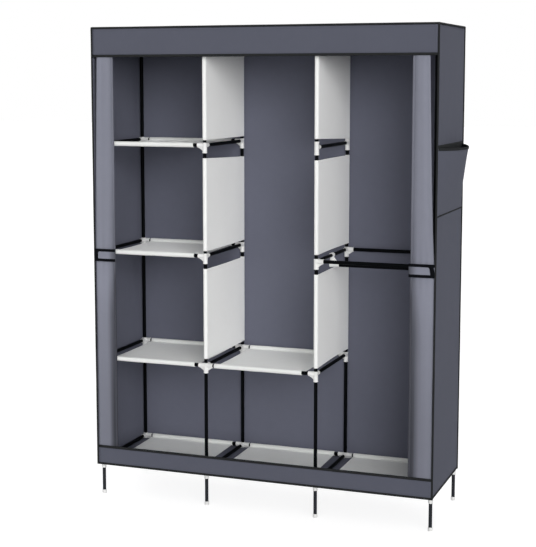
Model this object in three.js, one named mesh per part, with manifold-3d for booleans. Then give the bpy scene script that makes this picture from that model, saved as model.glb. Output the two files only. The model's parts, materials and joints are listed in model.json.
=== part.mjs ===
// Portable fabric wardrobe: a push-together frame of steel tubes and moulded connectors,
// sleeved cloth shelves and dividers, a sewn cover with side pockets, and two sliding curtains.
// Millimetres, +Z up, front towards -Y, origin on the floor below the middle of the wardrobe.

import * as THREE from 'three';
import { mergeVertices } from 'three/addons/utils/BufferGeometryUtils.js';
import Module from 'manifold-3d';

const wasm = await Module();
wasm.setup();

// Cover
const WIDTH = 1300;
const DEPTH = 410;
const HEIGHT = 1765;
const HEM_HEIGHT = 122;
const HEADER_HEIGHT = 104;
const BASE_BAND_HEIGHT = 72;
const CLOTH = 2;
const SEAM_GAP = 0.3;
const SEAT_GAP = 0.3;

// Frame layout
const BAYS = 3;
const FRONT_SETBACK = 28;
const LEVEL_A = 1342;
const LEVEL_B = 938;
const LEVEL_C = 531;
const LEVEL_D = 135;

// Tubes and feet
const TUBE_RADIUS = 6.5;
const TUBE_WALL = 0.7;
const FOOT_RADIUS = 8.5;
const FOOT_HEIGHT = 14;
const FOOT_FLOOR = 3;
const FOOT_CHAMFER = 1.2;

// Moulded connectors
const FIT = 0.3;
const SOCKET_WALL = 1.7;
const ARM_REACH = 28;
const ARM_TIP_WALL = 0.9;
const SLEEVE_DROP = 29;
const LEG_SLEEVE_DROP = 34;
const SLEEVE_LIP = 1;
const PLAIN_RISE = 20;
const PLAIN_DROP = 28;
const GUSSET_DROP = 21;
const GUSSET_THICKNESS = 4.6;
const GUSSET_SAG_SHARE = 0.62;
const TUBE_STOP_SHARE = 0.9;

// Shelves and dividers
const SLEEVE_CLOTH = 1;
const SHELF_LEFT_GAP = 34;
const SHELF_RIGHT_GAP = 43;
const SHELF_PANEL_DROP = 2;
const DIVIDER_CLOTH = 1.4;
const DIVIDER_GAP_ABOVE = 9;
const DIVIDER_GAP_BELOW = 18;

// Hanging rod
const ROD_DROP = 36;
const ROD_BRACKET_LENGTH = 22;

// Curtains, their rod and ties
const CURTAIN_ROD_RADIUS = 3;
const CURTAIN_ROD_BEND = 6;
const ROD_SOCKET_DEPTH = 10;
const ROD_BOSS_RADIUS = 6;
const ROD_BOSS_REACH = 1.5;
const LOOP_WALL = 2.7;
const HEM_WIDTH = 8;
const HEM_DEPTH = 10;
const CURTAIN_CLEARANCE = 12;
const CURTAIN_TOP_DROP = 8;
const BUNDLE_WIDTH_LEFT = 78;
const BUNDLE_WIDTH_RIGHT = 88;
const BUNDLE_TOP_INSET = 29;
const BUNDLE_SIDE_GAP = 1;
const BUNDLE_BACK_GAP = 0.8;
const FOLDS = 4;
const FOLD_DEPTH = 5;
const FOLD_POINTS = 7;
const TIE_HEIGHT = 927;
const TIE_BAND = 47;
const TIE_THICKNESS = 2;
const TIE_LAP = 4;
const TIE_BOW = 3;

// Side pockets
const POCKET_MOUTH_HEIGHT = 1345;
const POCKET_DROP = 233;
const POCKET_SIDE_MARGIN = 10;
const POCKET_BULGE = 45;
const POCKET_RIM_SAG = 7;
const POCKET_PEAK_SHARE = 0.38;
const POCKET_COLUMNS = 12;
const POCKET_ROWS = 5;

const ROUND_SIDES = 8;
const CURVE_STEPS = 3;
const OVERRUN = 4;

// Derived places
const tubeBore = TUBE_RADIUS - TUBE_WALL;
const socketRadius = TUBE_RADIUS + FIT;
const sleeveRadius = socketRadius + SOCKET_WALL;
const armTipRadius = socketRadius + ARM_TIP_WALL;
const cornerInset = CLOTH + SEAT_GAP + sleeveRadius;
const insideX = WIDTH / 2 - CLOTH;
const postX = WIDTH / 2 - cornerInset;
const frontY = -DEPTH / 2 + FRONT_SETBACK;
const backY = DEPTH / 2 - cornerInset;
const middleY = (frontY + backY) / 2;
const armRise = sleeveRadius + SLEEVE_LIP;
const topZ = HEIGHT - CLOTH - SEAT_GAP - armRise;
const tubeStop = sleeveRadius * TUBE_STOP_SHARE;
const columns = Array.from({ length: BAYS + 1 }, (_, i) => -postX + (2 * postX * i) / BAYS);
const levels = { a: LEVEL_A, b: LEVEL_B, c: LEVEL_C, d: LEVEL_D };

// Directions of connector arms, as turns about +Z from +X
const RIGHT = 0;
const BACK = Math.PI / 2;
const LEFT = Math.PI;
const FRONT = -Math.PI / 2;

const finishes = {
  tube: { color: 0x14161a, roughness: 0.38, metalness: 0.55 },
  shelf: { color: 0xd6d7d5, roughness: 0.85, metalness: 0 },
  divider: { color: 0xe2e2e1, roughness: 0.85, metalness: 0 },
  cover: { color: 0x5a5c68, roughness: 0.9, metalness: 0 },
  curtain: { color: 0x80828f, roughness: 0.9, metalness: 0 },
};

const wardrobe = new THREE.Group();

function addPiece(name, geometry, finish) {
  const mesh = new THREE.Mesh(geometry, new THREE.MeshStandardMaterial(finishes[finish]));
  mesh.name = name;
  wardrobe.add(mesh);
  return mesh;
}

// A closed geometry as a solid that can be joined and cut
function solid(geometry) {
  const bare = geometry.clone();
  bare.deleteAttribute('normal');
  bare.deleteAttribute('uv');
  const merged = mergeVertices(bare);
  const all = merged.index.array;
  const kept = [];
  for (let i = 0; i < all.length; i += 3) {
    const [a, b, c] = [all[i], all[i + 1], all[i + 2]];
    if (a !== b && b !== c && c !== a) kept.push(a, b, c);
  }
  const mesh = new wasm.Mesh({
    numProp: 3,
    vertProperties: new Float32Array(merged.attributes.position.array),
    triVerts: new Uint32Array(kept),
  });
  return new wasm.Manifold(mesh);
}

// The solid back as a flat-shaded geometry
function geometryOf(shape) {
  const mesh = shape.getMesh();
  const geometry = new THREE.BufferGeometry();
  geometry.setAttribute('position', new THREE.BufferAttribute(new Float32Array(mesh.vertProperties), 3));
  geometry.setIndex(new THREE.BufferAttribute(new Uint32Array(mesh.triVerts), 1));
  const flat = geometry.toNonIndexed();
  flat.computeVertexNormals();
  return flat;
}

const join = (shapes) => shapes.reduce((whole, shape) => whole.add(shape));
const cut = (shape, cutters) => cutters.reduce((rest, cutter) => rest.subtract(cutter), shape);

// A cylinder along X from x0 to x1, centred on (y, z)
function barX(radius, x0, x1, y, z) {
  const bar = new THREE.CylinderGeometry(radius, radius, x1 - x0, ROUND_SIDES);
  bar.rotateZ(-Math.PI / 2);
  bar.translate((x0 + x1) / 2, y, z);
  return solid(bar);
}

// A cylinder along Y from y0 to y1, centred on (x, z)
function barY(radius, x, y0, y1, z) {
  const bar = new THREE.CylinderGeometry(radius, radius, y1 - y0, ROUND_SIDES);
  bar.translate(x, (y0 + y1) / 2, z);
  return solid(bar);
}

// A cylinder along Z from z0 to z1, centred on (x, y)
function barZ(radius, x, y, z0, z1) {
  const bar = new THREE.CylinderGeometry(radius, radius, z1 - z0, ROUND_SIDES);
  bar.rotateX(Math.PI / 2);
  bar.translate(x, y, (z0 + z1) / 2);
  return solid(bar);
}

function plate(x0, x1, y0, y1, z0, z1) {
  const box = new THREE.BoxGeometry(x1 - x0, y1 - y0, z1 - z0);
  box.translate((x0 + x1) / 2, (y0 + y1) / 2, (z0 + z1) / 2);
  return box;
}

// The curved web below a connector's arm, from the arm's end to a place low on the sleeve
function gusset(x, y, z, turn, reach, drop) {
  const web = new THREE.Shape();
  const cornerX = THREE.MathUtils.lerp(reach, socketRadius, GUSSET_SAG_SHARE);
  const cornerZ = THREE.MathUtils.lerp(-drop, -socketRadius, GUSSET_SAG_SHARE);
  web.moveTo(socketRadius, -socketRadius);
  web.lineTo(socketRadius, -drop);
  web.lineTo(sleeveRadius, -drop);
  web.quadraticCurveTo(cornerX, cornerZ, reach, -sleeveRadius);
  web.lineTo(reach, -socketRadius);
  web.closePath();
  const form = { depth: GUSSET_THICKNESS, bevelEnabled: false, curveSegments: CURVE_STEPS };
  const body = new THREE.ExtrudeGeometry(web, form);
  body.translate(0, 0, -GUSSET_THICKNESS / 2);
  body.rotateX(Math.PI / 2);
  body.rotateZ(turn);
  body.translate(x, y, z);
  return solid(body);
}

// A bar that runs out from a post's axis in the direction of a turn, and may taper to its tip
function spoke(radius, x, y, z, turn, start, end, tip = radius) {
  const bar = new THREE.CylinderGeometry(tip, radius, end - start, ROUND_SIDES);
  bar.rotateZ(-Math.PI / 2);
  bar.translate((start + end) / 2, 0, 0);
  bar.rotateZ(turn);
  bar.translate(x, y, z);
  return solid(bar);
}

// A connector's walls and the room inside it: a sleeve for the post, arms along the front or
// back with their webs, and a tapered arm inwards, so one without a web. Open arms take a loose
// tube, fixed ones hold theirs.
function connector(x, y, z, { open, fixed, webs }, rise, drop, closedTop = false) {
  const walls = [barZ(sleeveRadius, x, y, z - drop, z + rise)];
  const room = [barZ(socketRadius, x, y, z - drop - OVERRUN, closedTop ? z : z + rise + OVERRUN)];
  for (const turn of [...open, ...fixed]) {
    const tip = webs.includes(turn) ? sleeveRadius : armTipRadius;
    walls.push(spoke(sleeveRadius, x, y, z, turn, 0, ARM_REACH, tip));
  }
  for (const turn of webs) walls.push(gusset(x, y, z, turn, ARM_REACH, GUSSET_DROP));
  for (const turn of open) room.push(spoke(socketRadius, x, y, z, turn, 0, ARM_REACH + OVERRUN));
  return { walls, room };
}

// Posts: one tube each from foot cap to top connector, with the cap pushed on
function addPosts() {
  const top = topZ - socketRadius;
  const profile = [
    [0, 0],
    [FOOT_RADIUS - FOOT_CHAMFER, 0],
    [FOOT_RADIUS, FOOT_CHAMFER],
    [FOOT_RADIUS, FOOT_HEIGHT - FOOT_CHAMFER],
    [FOOT_RADIUS - FOOT_CHAMFER, FOOT_HEIGHT],
    [TUBE_RADIUS, FOOT_HEIGHT],
    [TUBE_RADIUS, top],
    [tubeBore, top],
    [tubeBore, FOOT_FLOOR],
    [0, FOOT_FLOOR],
  ].map(([r, z]) => new THREE.Vector2(r, z));
  columns.forEach((x, i) => {
    for (const [row, y] of [['front', frontY], ['back', backY]]) {
      const post = new THREE.LatheGeometry(profile, ROUND_SIDES);
      post.rotateX(Math.PI / 2);
      const mesh = addPiece(`post_${row}_${i + 1}`, post, 'tube');
      mesh.position.set(x, y, 0);
    }
  });
}

// Which side arms each rung's connectors have
const rungs = {
  a: [[RIGHT], [LEFT], [], null],
  b: [[RIGHT], [LEFT], [RIGHT], [LEFT]],
  c: [[RIGHT], [LEFT, RIGHT], [LEFT], null],
  d: [[RIGHT], [LEFT, RIGHT], [LEFT, RIGHT], [LEFT]],
};

// How far each connector's sleeve runs below and above its level
function dropAt(level, i) {
  if (level === 'd') return LEG_SLEEVE_DROP;
  return rungs[level][i].length ? SLEEVE_DROP : PLAIN_DROP;
}

const riseAt = (level, i) => (rungs[level][i].length ? armRise : PLAIN_RISE);

// Rungs: the tube from front to back at each column, with its two moulded connectors
function addRungs() {
  for (const [level, row] of Object.entries(rungs)) {
    row.forEach((arms, i) => {
      if (!arms) return;
      const [x, z] = [columns[i], levels[level]];
      const [rise, drop] = [riseAt(level, i), dropAt(level, i)];
      const front = connector(x, frontY, z, { open: arms, fixed: [BACK], webs: arms }, rise, drop);
      const back = connector(x, backY, z, { open: arms, fixed: [FRONT], webs: arms }, rise, drop);
      const walls = [...front.walls, ...back.walls, barY(TUBE_RADIUS, x, frontY, backY, z)];
      const rooms = [...front.room, ...back.room, barY(tubeBore, x, frontY, backY, z)];
      addPiece(`rung_${level}${i + 1}`, geometryOf(cut(join(walls), rooms)), 'tube');
    });
  }
}

// Top rails: the tubes across the top with their corner and tee connectors
function addTopRails() {
  const rodY = curtainRodY();
  for (const [row, y, inward] of [['front', frontY, BACK], ['back', backY, FRONT]]) {
    const walls = [barX(TUBE_RADIUS, -postX, postX, y, topZ)];
    const rooms = [barX(tubeBore, -postX, postX, y, topZ)];
    columns.forEach((x, i) => {
      const sides = [i > 0 ? LEFT : null, i < BAYS ? RIGHT : null].filter((turn) => turn !== null);
      const form = { open: [inward], fixed: sides, webs: sides };
      const post = connector(x, y, topZ, form, armRise, SLEEVE_DROP, true);
      walls.push(...post.walls);
      rooms.push(...post.room);
      if (row === 'front' && sides.length === 1) {
        const reach = sleeveRadius + ROD_BOSS_REACH;
        walls.push(spoke(ROD_BOSS_RADIUS, x, y, topZ, FRONT, 0, reach));
        const holeEnd = y - rodY;
        const holeStart = reach - ROD_SOCKET_DEPTH;
        rooms.push(spoke(CURTAIN_ROD_RADIUS + FIT, x, y, topZ, FRONT, holeStart, holeEnd));
      }
    });
    addPiece(`top_rail_${row}`, geometryOf(cut(join(walls), rooms)), 'tube');
  }
}

// A plain steel tube, open at both ends
function tubeAlong(axis, start, end, across, z) {
  const bar = axis === 'x' ? (r, a, b) => barX(r, a, b, across, z) : (r, a, b) => barY(r, across, a, b, z);
  return cut(bar(TUBE_RADIUS, start, end), [bar(tubeBore, start - OVERRUN, end + OVERRUN)]);
}

function addTopTubes() {
  columns.forEach((x, i) => {
    const tube = tubeAlong('y', frontY + tubeStop, backY - tubeStop, x, topZ);
    addPiece(`top_tube_${i + 1}`, geometryOf(tube), 'tube');
  });
}

// The right bay's tubes at level B, and the rod that clothes hang on
function addHangerTubes() {
  const [x0, x1] = [columns[BAYS - 1], columns[BAYS]];
  for (const [row, y] of [['front', frontY], ['back', backY]]) {
    const tube = tubeAlong('x', x0 + tubeStop, x1 - tubeStop, y, LEVEL_B);
    addPiece(`hanger_tube_${row}`, geometryOf(tube), 'tube');
  }
  const z = LEVEL_B - ROD_DROP;
  const half = ROD_BRACKET_LENGTH / 2;
  const walls = [barX(TUBE_RADIUS, x0, x1, middleY, z)];
  const rooms = [barX(tubeBore, x0 - sleeveRadius - OVERRUN, x1 + sleeveRadius + OVERRUN, middleY, z)];
  for (const [x, turn, side] of [[x0, RIGHT, 1], [x1, LEFT, -1]]) {
    walls.push(barY(sleeveRadius, x, middleY - half, middleY + half, LEVEL_B));
    rooms.push(barY(socketRadius, x, middleY - half - OVERRUN, middleY + half + OVERRUN, LEVEL_B));
    walls.push(barZ(sleeveRadius, x, middleY, z, LEVEL_B));
    const [near, far] = [x - side * sleeveRadius, x + side * ARM_REACH];
    walls.push(barX(sleeveRadius, Math.min(near, far), Math.max(near, far), middleY, z));
    const web = new THREE.Shape();
    web.moveTo(0, 0);
    web.lineTo(ARM_REACH, 0);
    web.lineTo(ARM_REACH, sleeveRadius);
    web.lineTo(sleeveRadius, ROD_DROP);
    web.lineTo(0, ROD_DROP);
    web.closePath();
    const body = new THREE.ExtrudeGeometry(web, { depth: GUSSET_THICKNESS, bevelEnabled: false });
    body.translate(0, 0, -GUSSET_THICKNESS / 2);
    body.rotateX(Math.PI / 2);
    body.rotateZ(turn);
    body.translate(x, middleY, z);
    walls.push(solid(body));
  }
  addPiece('hanging_rod', geometryOf(cut(join(walls), rooms)), 'tube');
}

// Shelves: a cloth panel with a sleeve at the front and back, and the two tubes inside
const shelves = { a: [0], b: [0], c: [0, 1], d: [0, 1, 2] };

function addShelves() {
  const outer = TUBE_RADIUS + SLEEVE_CLOTH;
  for (const [level, bays] of Object.entries(shelves)) {
    for (const bay of bays) {
      const [x0, x1, z] = [columns[bay], columns[bay + 1], levels[level]];
      const [start, end] = [x0 + tubeStop, x1 - tubeStop];
      const [left, right] = [x0 + SHELF_LEFT_GAP, x1 - SHELF_RIGHT_GAP];
      const rows = [frontY, backY];
      const cloth = rows.map((y) => barX(outer, left, right, y, z));
      const tubes = rows.map((y) => barX(TUBE_RADIUS, start, end, y, z));
      const bores = rows.map((y) => barX(tubeBore, start - OVERRUN, end + OVERRUN, y, z));
      const panelTop = z - SHELF_PANEL_DROP;
      const panelFoot = panelTop - CLOTH;
      const panel = solid(plate(left, right, frontY, backY, panelFoot, panelTop));
      // The sleeve falls straight from its widest point to the seam
      const seams = [[frontY, frontY + outer], [backY - outer, backY]].map(([y0, y1]) =>
        solid(plate(left, right, y0, y1, panelFoot, z)));
      const body = cut(join([panel, ...seams, ...cloth, ...tubes]), bores);
      addPiece(`shelf_${level}${bay + 1}`, geometryOf(body), 'shelf');
    }
  }
}

// Dividers: upright cloth panels, sleeved on the front and back posts of an inner column
function addDividers() {
  const outer = socketRadius + DIVIDER_CLOTH;
  for (const i of [1, 2]) {
    const x = columns[i];
    const spans = [
      ['upper', topZ - SLEEVE_DROP, 'a'],
      ['middle', LEVEL_A - dropAt('a', i), 'b'],
      ['lower', LEVEL_B - dropAt('b', i), 'c'],
    ];
    for (const [name, sleeveFoot, level] of spans) {
      const z1 = sleeveFoot - DIVIDER_GAP_BELOW;
      const z0 = levels[level] + riseAt(level, i) + DIVIDER_GAP_ABOVE;
      const panel = solid(plate(x - CLOTH / 2, x + CLOTH / 2, frontY, backY, z0, z1));
      const sleeves = [frontY, backY].map((y) => barZ(outer, x, y, z0, z1));
      const posts = [frontY, backY].map((y) => barZ(socketRadius, x, y, z0 - OVERRUN, z1 + OVERRUN));
      const body = cut(join([panel, ...sleeves]), posts);
      addPiece(`divider_${i + 1}_${name}`, geometryOf(body), 'divider');
    }
  }
}

// Cover: the seven sewn panels
function addCover() {
  const [x, y] = [WIDTH / 2, DEPTH / 2];
  const inner = insideX - SEAM_GAP;
  const headerZ = HEIGHT - HEADER_HEIGHT;
  const baseZ = HEM_HEIGHT + BASE_BAND_HEIGHT;
  const roofY = y - CLOTH - SEAM_GAP;
  const panels = {
    cover_left: [-x, -insideX, -y, y, HEM_HEIGHT, HEIGHT],
    cover_right: [insideX, x, -y, y, HEM_HEIGHT, HEIGHT],
    cover_back: [-inner, inner, y - CLOTH, y, HEM_HEIGHT, HEIGHT],
    cover_top: [-inner, inner, -roofY, roofY, HEIGHT - CLOTH, HEIGHT],
    cover_header: [-inner, inner, -y, CLOTH - y, headerZ, HEIGHT],
    cover_base_band: [-inner, inner, -y, CLOTH - y, HEM_HEIGHT, baseZ],
  };
  for (const [name, sides] of Object.entries(panels)) addPiece(name, plate(...sides), 'cover');

  // The floor panel, with an opening for each post's lowest connector and a slit for its webs.
  // The opening is cut to the panel's edge where the post stands against a wall.
  const floor = solid(plate(-inner, inner, -roofY, roofY, HEM_HEIGHT, HEM_HEIGHT + CLOTH));
  const near = sleeveRadius + SEAM_GAP;
  const far = cornerInset + OVERRUN;
  const slit = GUSSET_THICKNESS / 2 + SEAM_GAP;
  const [z0, z1] = [HEM_HEIGHT - OVERRUN, HEM_HEIGHT + CLOTH + OVERRUN];
  const openings = columns.flatMap((post, i) => {
    const [x0, x1] = [post - (i === 0 ? far : near), post + (i === BAYS ? far : near)];
    const [web0, web1] = [i === 0 ? post : post - ARM_REACH, i === BAYS ? post : post + ARM_REACH];
    const rows = [[frontY, near], [backY, far]];
    return rows.flatMap(([row, behind]) => [
      plate(x0, x1, row - near, row + behind, z0, z1),
      plate(web0, web1, row - slit, row + slit, z0, z1),
    ]);
  });
  const cutOut = openings.map((opening) => solid(opening));
  addPiece('cover_floor', geometryOf(cut(floor, cutOut)), 'cover');
}

// A sheet of given columns and rows whose two faces come from place(u, v, face), face 0 or 1
function shell(place, across, up) {
  const points = [];
  const faces = [];
  const at = (face, i, j) => face * (across + 1) * (up + 1) + j * (across + 1) + i;
  for (const face of [0, 1]) {
    for (let j = 0; j <= up; j += 1) {
      for (let i = 0; i <= across; i += 1) points.push(...place(i / across, j / up, face));
    }
  }
  const quad = (a, b, c, d) => faces.push(a, b, c, a, c, d);
  for (let j = 0; j < up; j += 1) {
    for (let i = 0; i < across; i += 1) {
      quad(at(0, i, j), at(0, i, j + 1), at(0, i + 1, j + 1), at(0, i + 1, j));
      quad(at(1, i, j), at(1, i + 1, j), at(1, i + 1, j + 1), at(1, i, j + 1));
    }
    quad(at(0, 0, j), at(1, 0, j), at(1, 0, j + 1), at(0, 0, j + 1));
    quad(at(0, across, j), at(0, across, j + 1), at(1, across, j + 1), at(1, across, j));
  }
  for (let i = 0; i < across; i += 1) {
    quad(at(0, i, 0), at(0, i + 1, 0), at(1, i + 1, 0), at(1, i, 0));
    quad(at(0, i, up), at(1, i, up), at(1, i + 1, up), at(0, i + 1, up));
  }
  const geometry = new THREE.BufferGeometry();
  geometry.setAttribute('position', new THREE.Float32BufferAttribute(points, 3));
  geometry.setIndex(faces);
  geometry.computeVertexNormals();
  return geometry;
}

// A geometry mirrored left to right, with its faces turned out again
function mirrored(geometry) {
  const bare = geometry.clone();
  bare.deleteAttribute('normal');
  bare.deleteAttribute('uv');
  const copy = mergeVertices(bare);
  copy.scale(-1, 1, 1);
  const index = copy.index.array;
  for (let i = 0; i < index.length; i += 3) [index[i], index[i + 1]] = [index[i + 1], index[i]];
  copy.computeVertexNormals();
  return copy;
}

const onSide = (side, geometry) => (side < 0 ? mirrored(geometry) : geometry);

// Side pockets: a baggy patch sewn on at its ends and foot, standing off at the mouth, most
// of all a little behind its middle
function addPockets() {
  const reach = DEPTH / 2 - POCKET_SIDE_MARGIN;
  const place = (u, v, face) => {
    const along = 2 * u - 1;
    const end = along > POCKET_PEAK_SHARE ? 1 : -1;
    const bow = 1 - ((along - POCKET_PEAK_SHARE) / (end - POCKET_PEAK_SHARE)) ** 2;
    const y = along * reach;
    const z = POCKET_MOUTH_HEIGHT - POCKET_DROP * (1 - v) - POCKET_RIM_SAG * bow * v * v;
    const x = WIDTH / 2 + SEAM_GAP + POCKET_BULGE * bow * v + face * CLOTH;
    return [x, y, z];
  };
  const pocket = shell(place, POCKET_COLUMNS, POCKET_ROWS);
  addPiece('pocket_left', onSide(-1, pocket), 'cover');
  addPiece('pocket_right', onSide(1, pocket), 'cover');
}

// The curtain rod runs midway between the header band and the front connectors
function curtainRodY() {
  const headerBack = CLOTH - DEPTH / 2;
  return (headerBack + frontY - sleeveRadius) / 2;
}

// A path through chosen nodes, one extrusion step from each node to the next
class NodePath extends THREE.Curve {
  constructor(nodes) {
    super();
    this.nodes = nodes;
  }

  getPointAt(t) {
    return this.nodes[Math.round(t * (this.nodes.length - 1))].clone();
  }

  getTangentAt(t) {
    const last = this.nodes.length - 1;
    const i = Math.round(t * last);
    const [before, after] = [this.nodes[Math.max(i - 1, 0)], this.nodes[Math.min(i + 1, last)]];
    return after.clone().sub(before).normalize();
  }
}

// The rod's two ends bend back and push into the corner connectors
function addCurtainRod() {
  const y = curtainRodY();
  const seat = frontY - sleeveRadius - ROD_BOSS_REACH + ROD_SOCKET_DEPTH - FIT;
  const half = [new THREE.Vector3(postX, seat, topZ)];
  for (let i = 0; i <= CURVE_STEPS; i += 1) {
    const turn = (Math.PI / 2) * (i / CURVE_STEPS);
    const bendX = postX - CURTAIN_ROD_BEND * (1 - Math.cos(turn));
    const bendY = y + CURTAIN_ROD_BEND * (1 - Math.sin(turn));
    half.push(new THREE.Vector3(bendX, bendY, topZ));
  }
  const otherHalf = half.map((p) => new THREE.Vector3(-p.x, p.y, p.z)).reverse();
  const path = new NodePath([...half, ...otherHalf]);
  const section = new THREE.Shape();
  section.absarc(0, 0, CURTAIN_ROD_RADIUS, 0, 2 * Math.PI);
  const steps = path.nodes.length - 1;
  const form = { steps, extrudePath: path, curveSegments: ROUND_SIDES / 2, bevelEnabled: false };
  addPiece('curtain_rod', new THREE.ExtrudeGeometry(section, form), 'tube');
}

// Each curtain is gathered at its side: a stiff leading hem with a loop on the rod,
// and the folded cloth between the hem and the side panel
function addCurtain(name, side, bundleWidth) {
  const rodY = curtainRodY();
  const hemFace = insideX - bundleWidth;
  const bottom = HEM_HEIGHT + CURTAIN_CLEARANCE;
  const loop = CURTAIN_ROD_RADIUS + FIT + LOOP_WALL;
  const [x0, x1] = [hemFace, hemFace + HEM_WIDTH];
  const strip = solid(plate(x0, x1, rodY - HEM_DEPTH / 2, rodY + HEM_DEPTH / 2, bottom, topZ));
  const ring = barX(loop, x0, x1, rodY, topZ);
  const hole = barX(CURTAIN_ROD_RADIUS + FIT, x0 - OVERRUN, x1 + OVERRUN, rodY, topZ);
  const hem = geometryOf(cut(strip.add(ring), [hole]));
  addPiece(`curtain_${name}_hem`, onSide(side, hem), 'curtain');

  const top = topZ - CURTAIN_TOP_DROP;
  const inner = x1 + SEAM_GAP;
  const front = CLOTH - DEPTH / 2 + BUNDLE_BACK_GAP;
  const back = frontY - sleeveRadius - BUNDLE_BACK_GAP;
  const stations = [
    [bottom, BUNDLE_SIDE_GAP],
    [TIE_HEIGHT, BUNDLE_SIDE_GAP],
    [(TIE_HEIGHT + top) / 2, BUNDLE_TOP_INSET / 2],
    [top, BUNDLE_TOP_INSET],
  ];
  const steps = FOLDS * FOLD_POINTS;
  const place = (u, v, face) => {
    const [z, inset] = stations[Math.round(v * (stations.length - 1))];
    const x = THREE.MathUtils.lerp(inner, insideX - inset, u);
    const fold = Math.abs(Math.sin(Math.PI * FOLDS * u));
    const y = face ? front + FOLD_DEPTH * (1 - Math.sqrt(fold)) : back;
    return [x, y, z];
  };
  const bundle = shell(place, steps, stations.length - 1);
  addPiece(`curtain_${name}_cloth`, onSide(side, bundle), 'curtain');
}

// Tie straps: a band across each gathered curtain, sewn at the cover's front edge
function addTieStrap(name, side, bundleWidth) {
  const half = TIE_THICKNESS / 2;
  const axis = { x: WIDTH / 2 - half, y: -DEPTH / 2 - SEAT_GAP - half };
  const length = axis.x - (insideX - bundleWidth) + TIE_LAP;
  const band = new THREE.Shape();
  band.moveTo(0, -half);
  band.absarc(0, 0, half, -Math.PI / 2, Math.PI / 2);
  band.quadraticCurveTo(-length / 2, half - TIE_BOW, -length + half, half);
  band.absarc(-length + half, 0, half, Math.PI / 2, (3 * Math.PI) / 2);
  band.quadraticCurveTo(-length / 2, -half - TIE_BOW, 0, -half);
  const form = { depth: TIE_BAND, bevelEnabled: false, curveSegments: CURVE_STEPS };
  const strap = new THREE.ExtrudeGeometry(band, form);
  strap.translate(axis.x, axis.y, TIE_HEIGHT - TIE_BAND / 2);
  addPiece(`tie_strap_${name}`, onSide(side, strap), 'curtain');
}

addPosts();
addRungs();
addTopRails();
addTopTubes();
addHangerTubes();
addShelves();
addDividers();
addCover();
addPockets();
addCurtainRod();
for (const [name, side, width] of [['left', -1, BUNDLE_WIDTH_LEFT], ['right', 1, BUNDLE_WIDTH_RIGHT]]) {
  addCurtain(name, side, width);
  addTieStrap(name, side, width);
}

export default wardrobe;
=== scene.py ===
"""Portable fabric wardrobe: black tubes in white moulded connectors, pale cloth shelves and
dividers, a slate grey cover with black binding, side pockets and tied-back curtains."""

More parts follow.
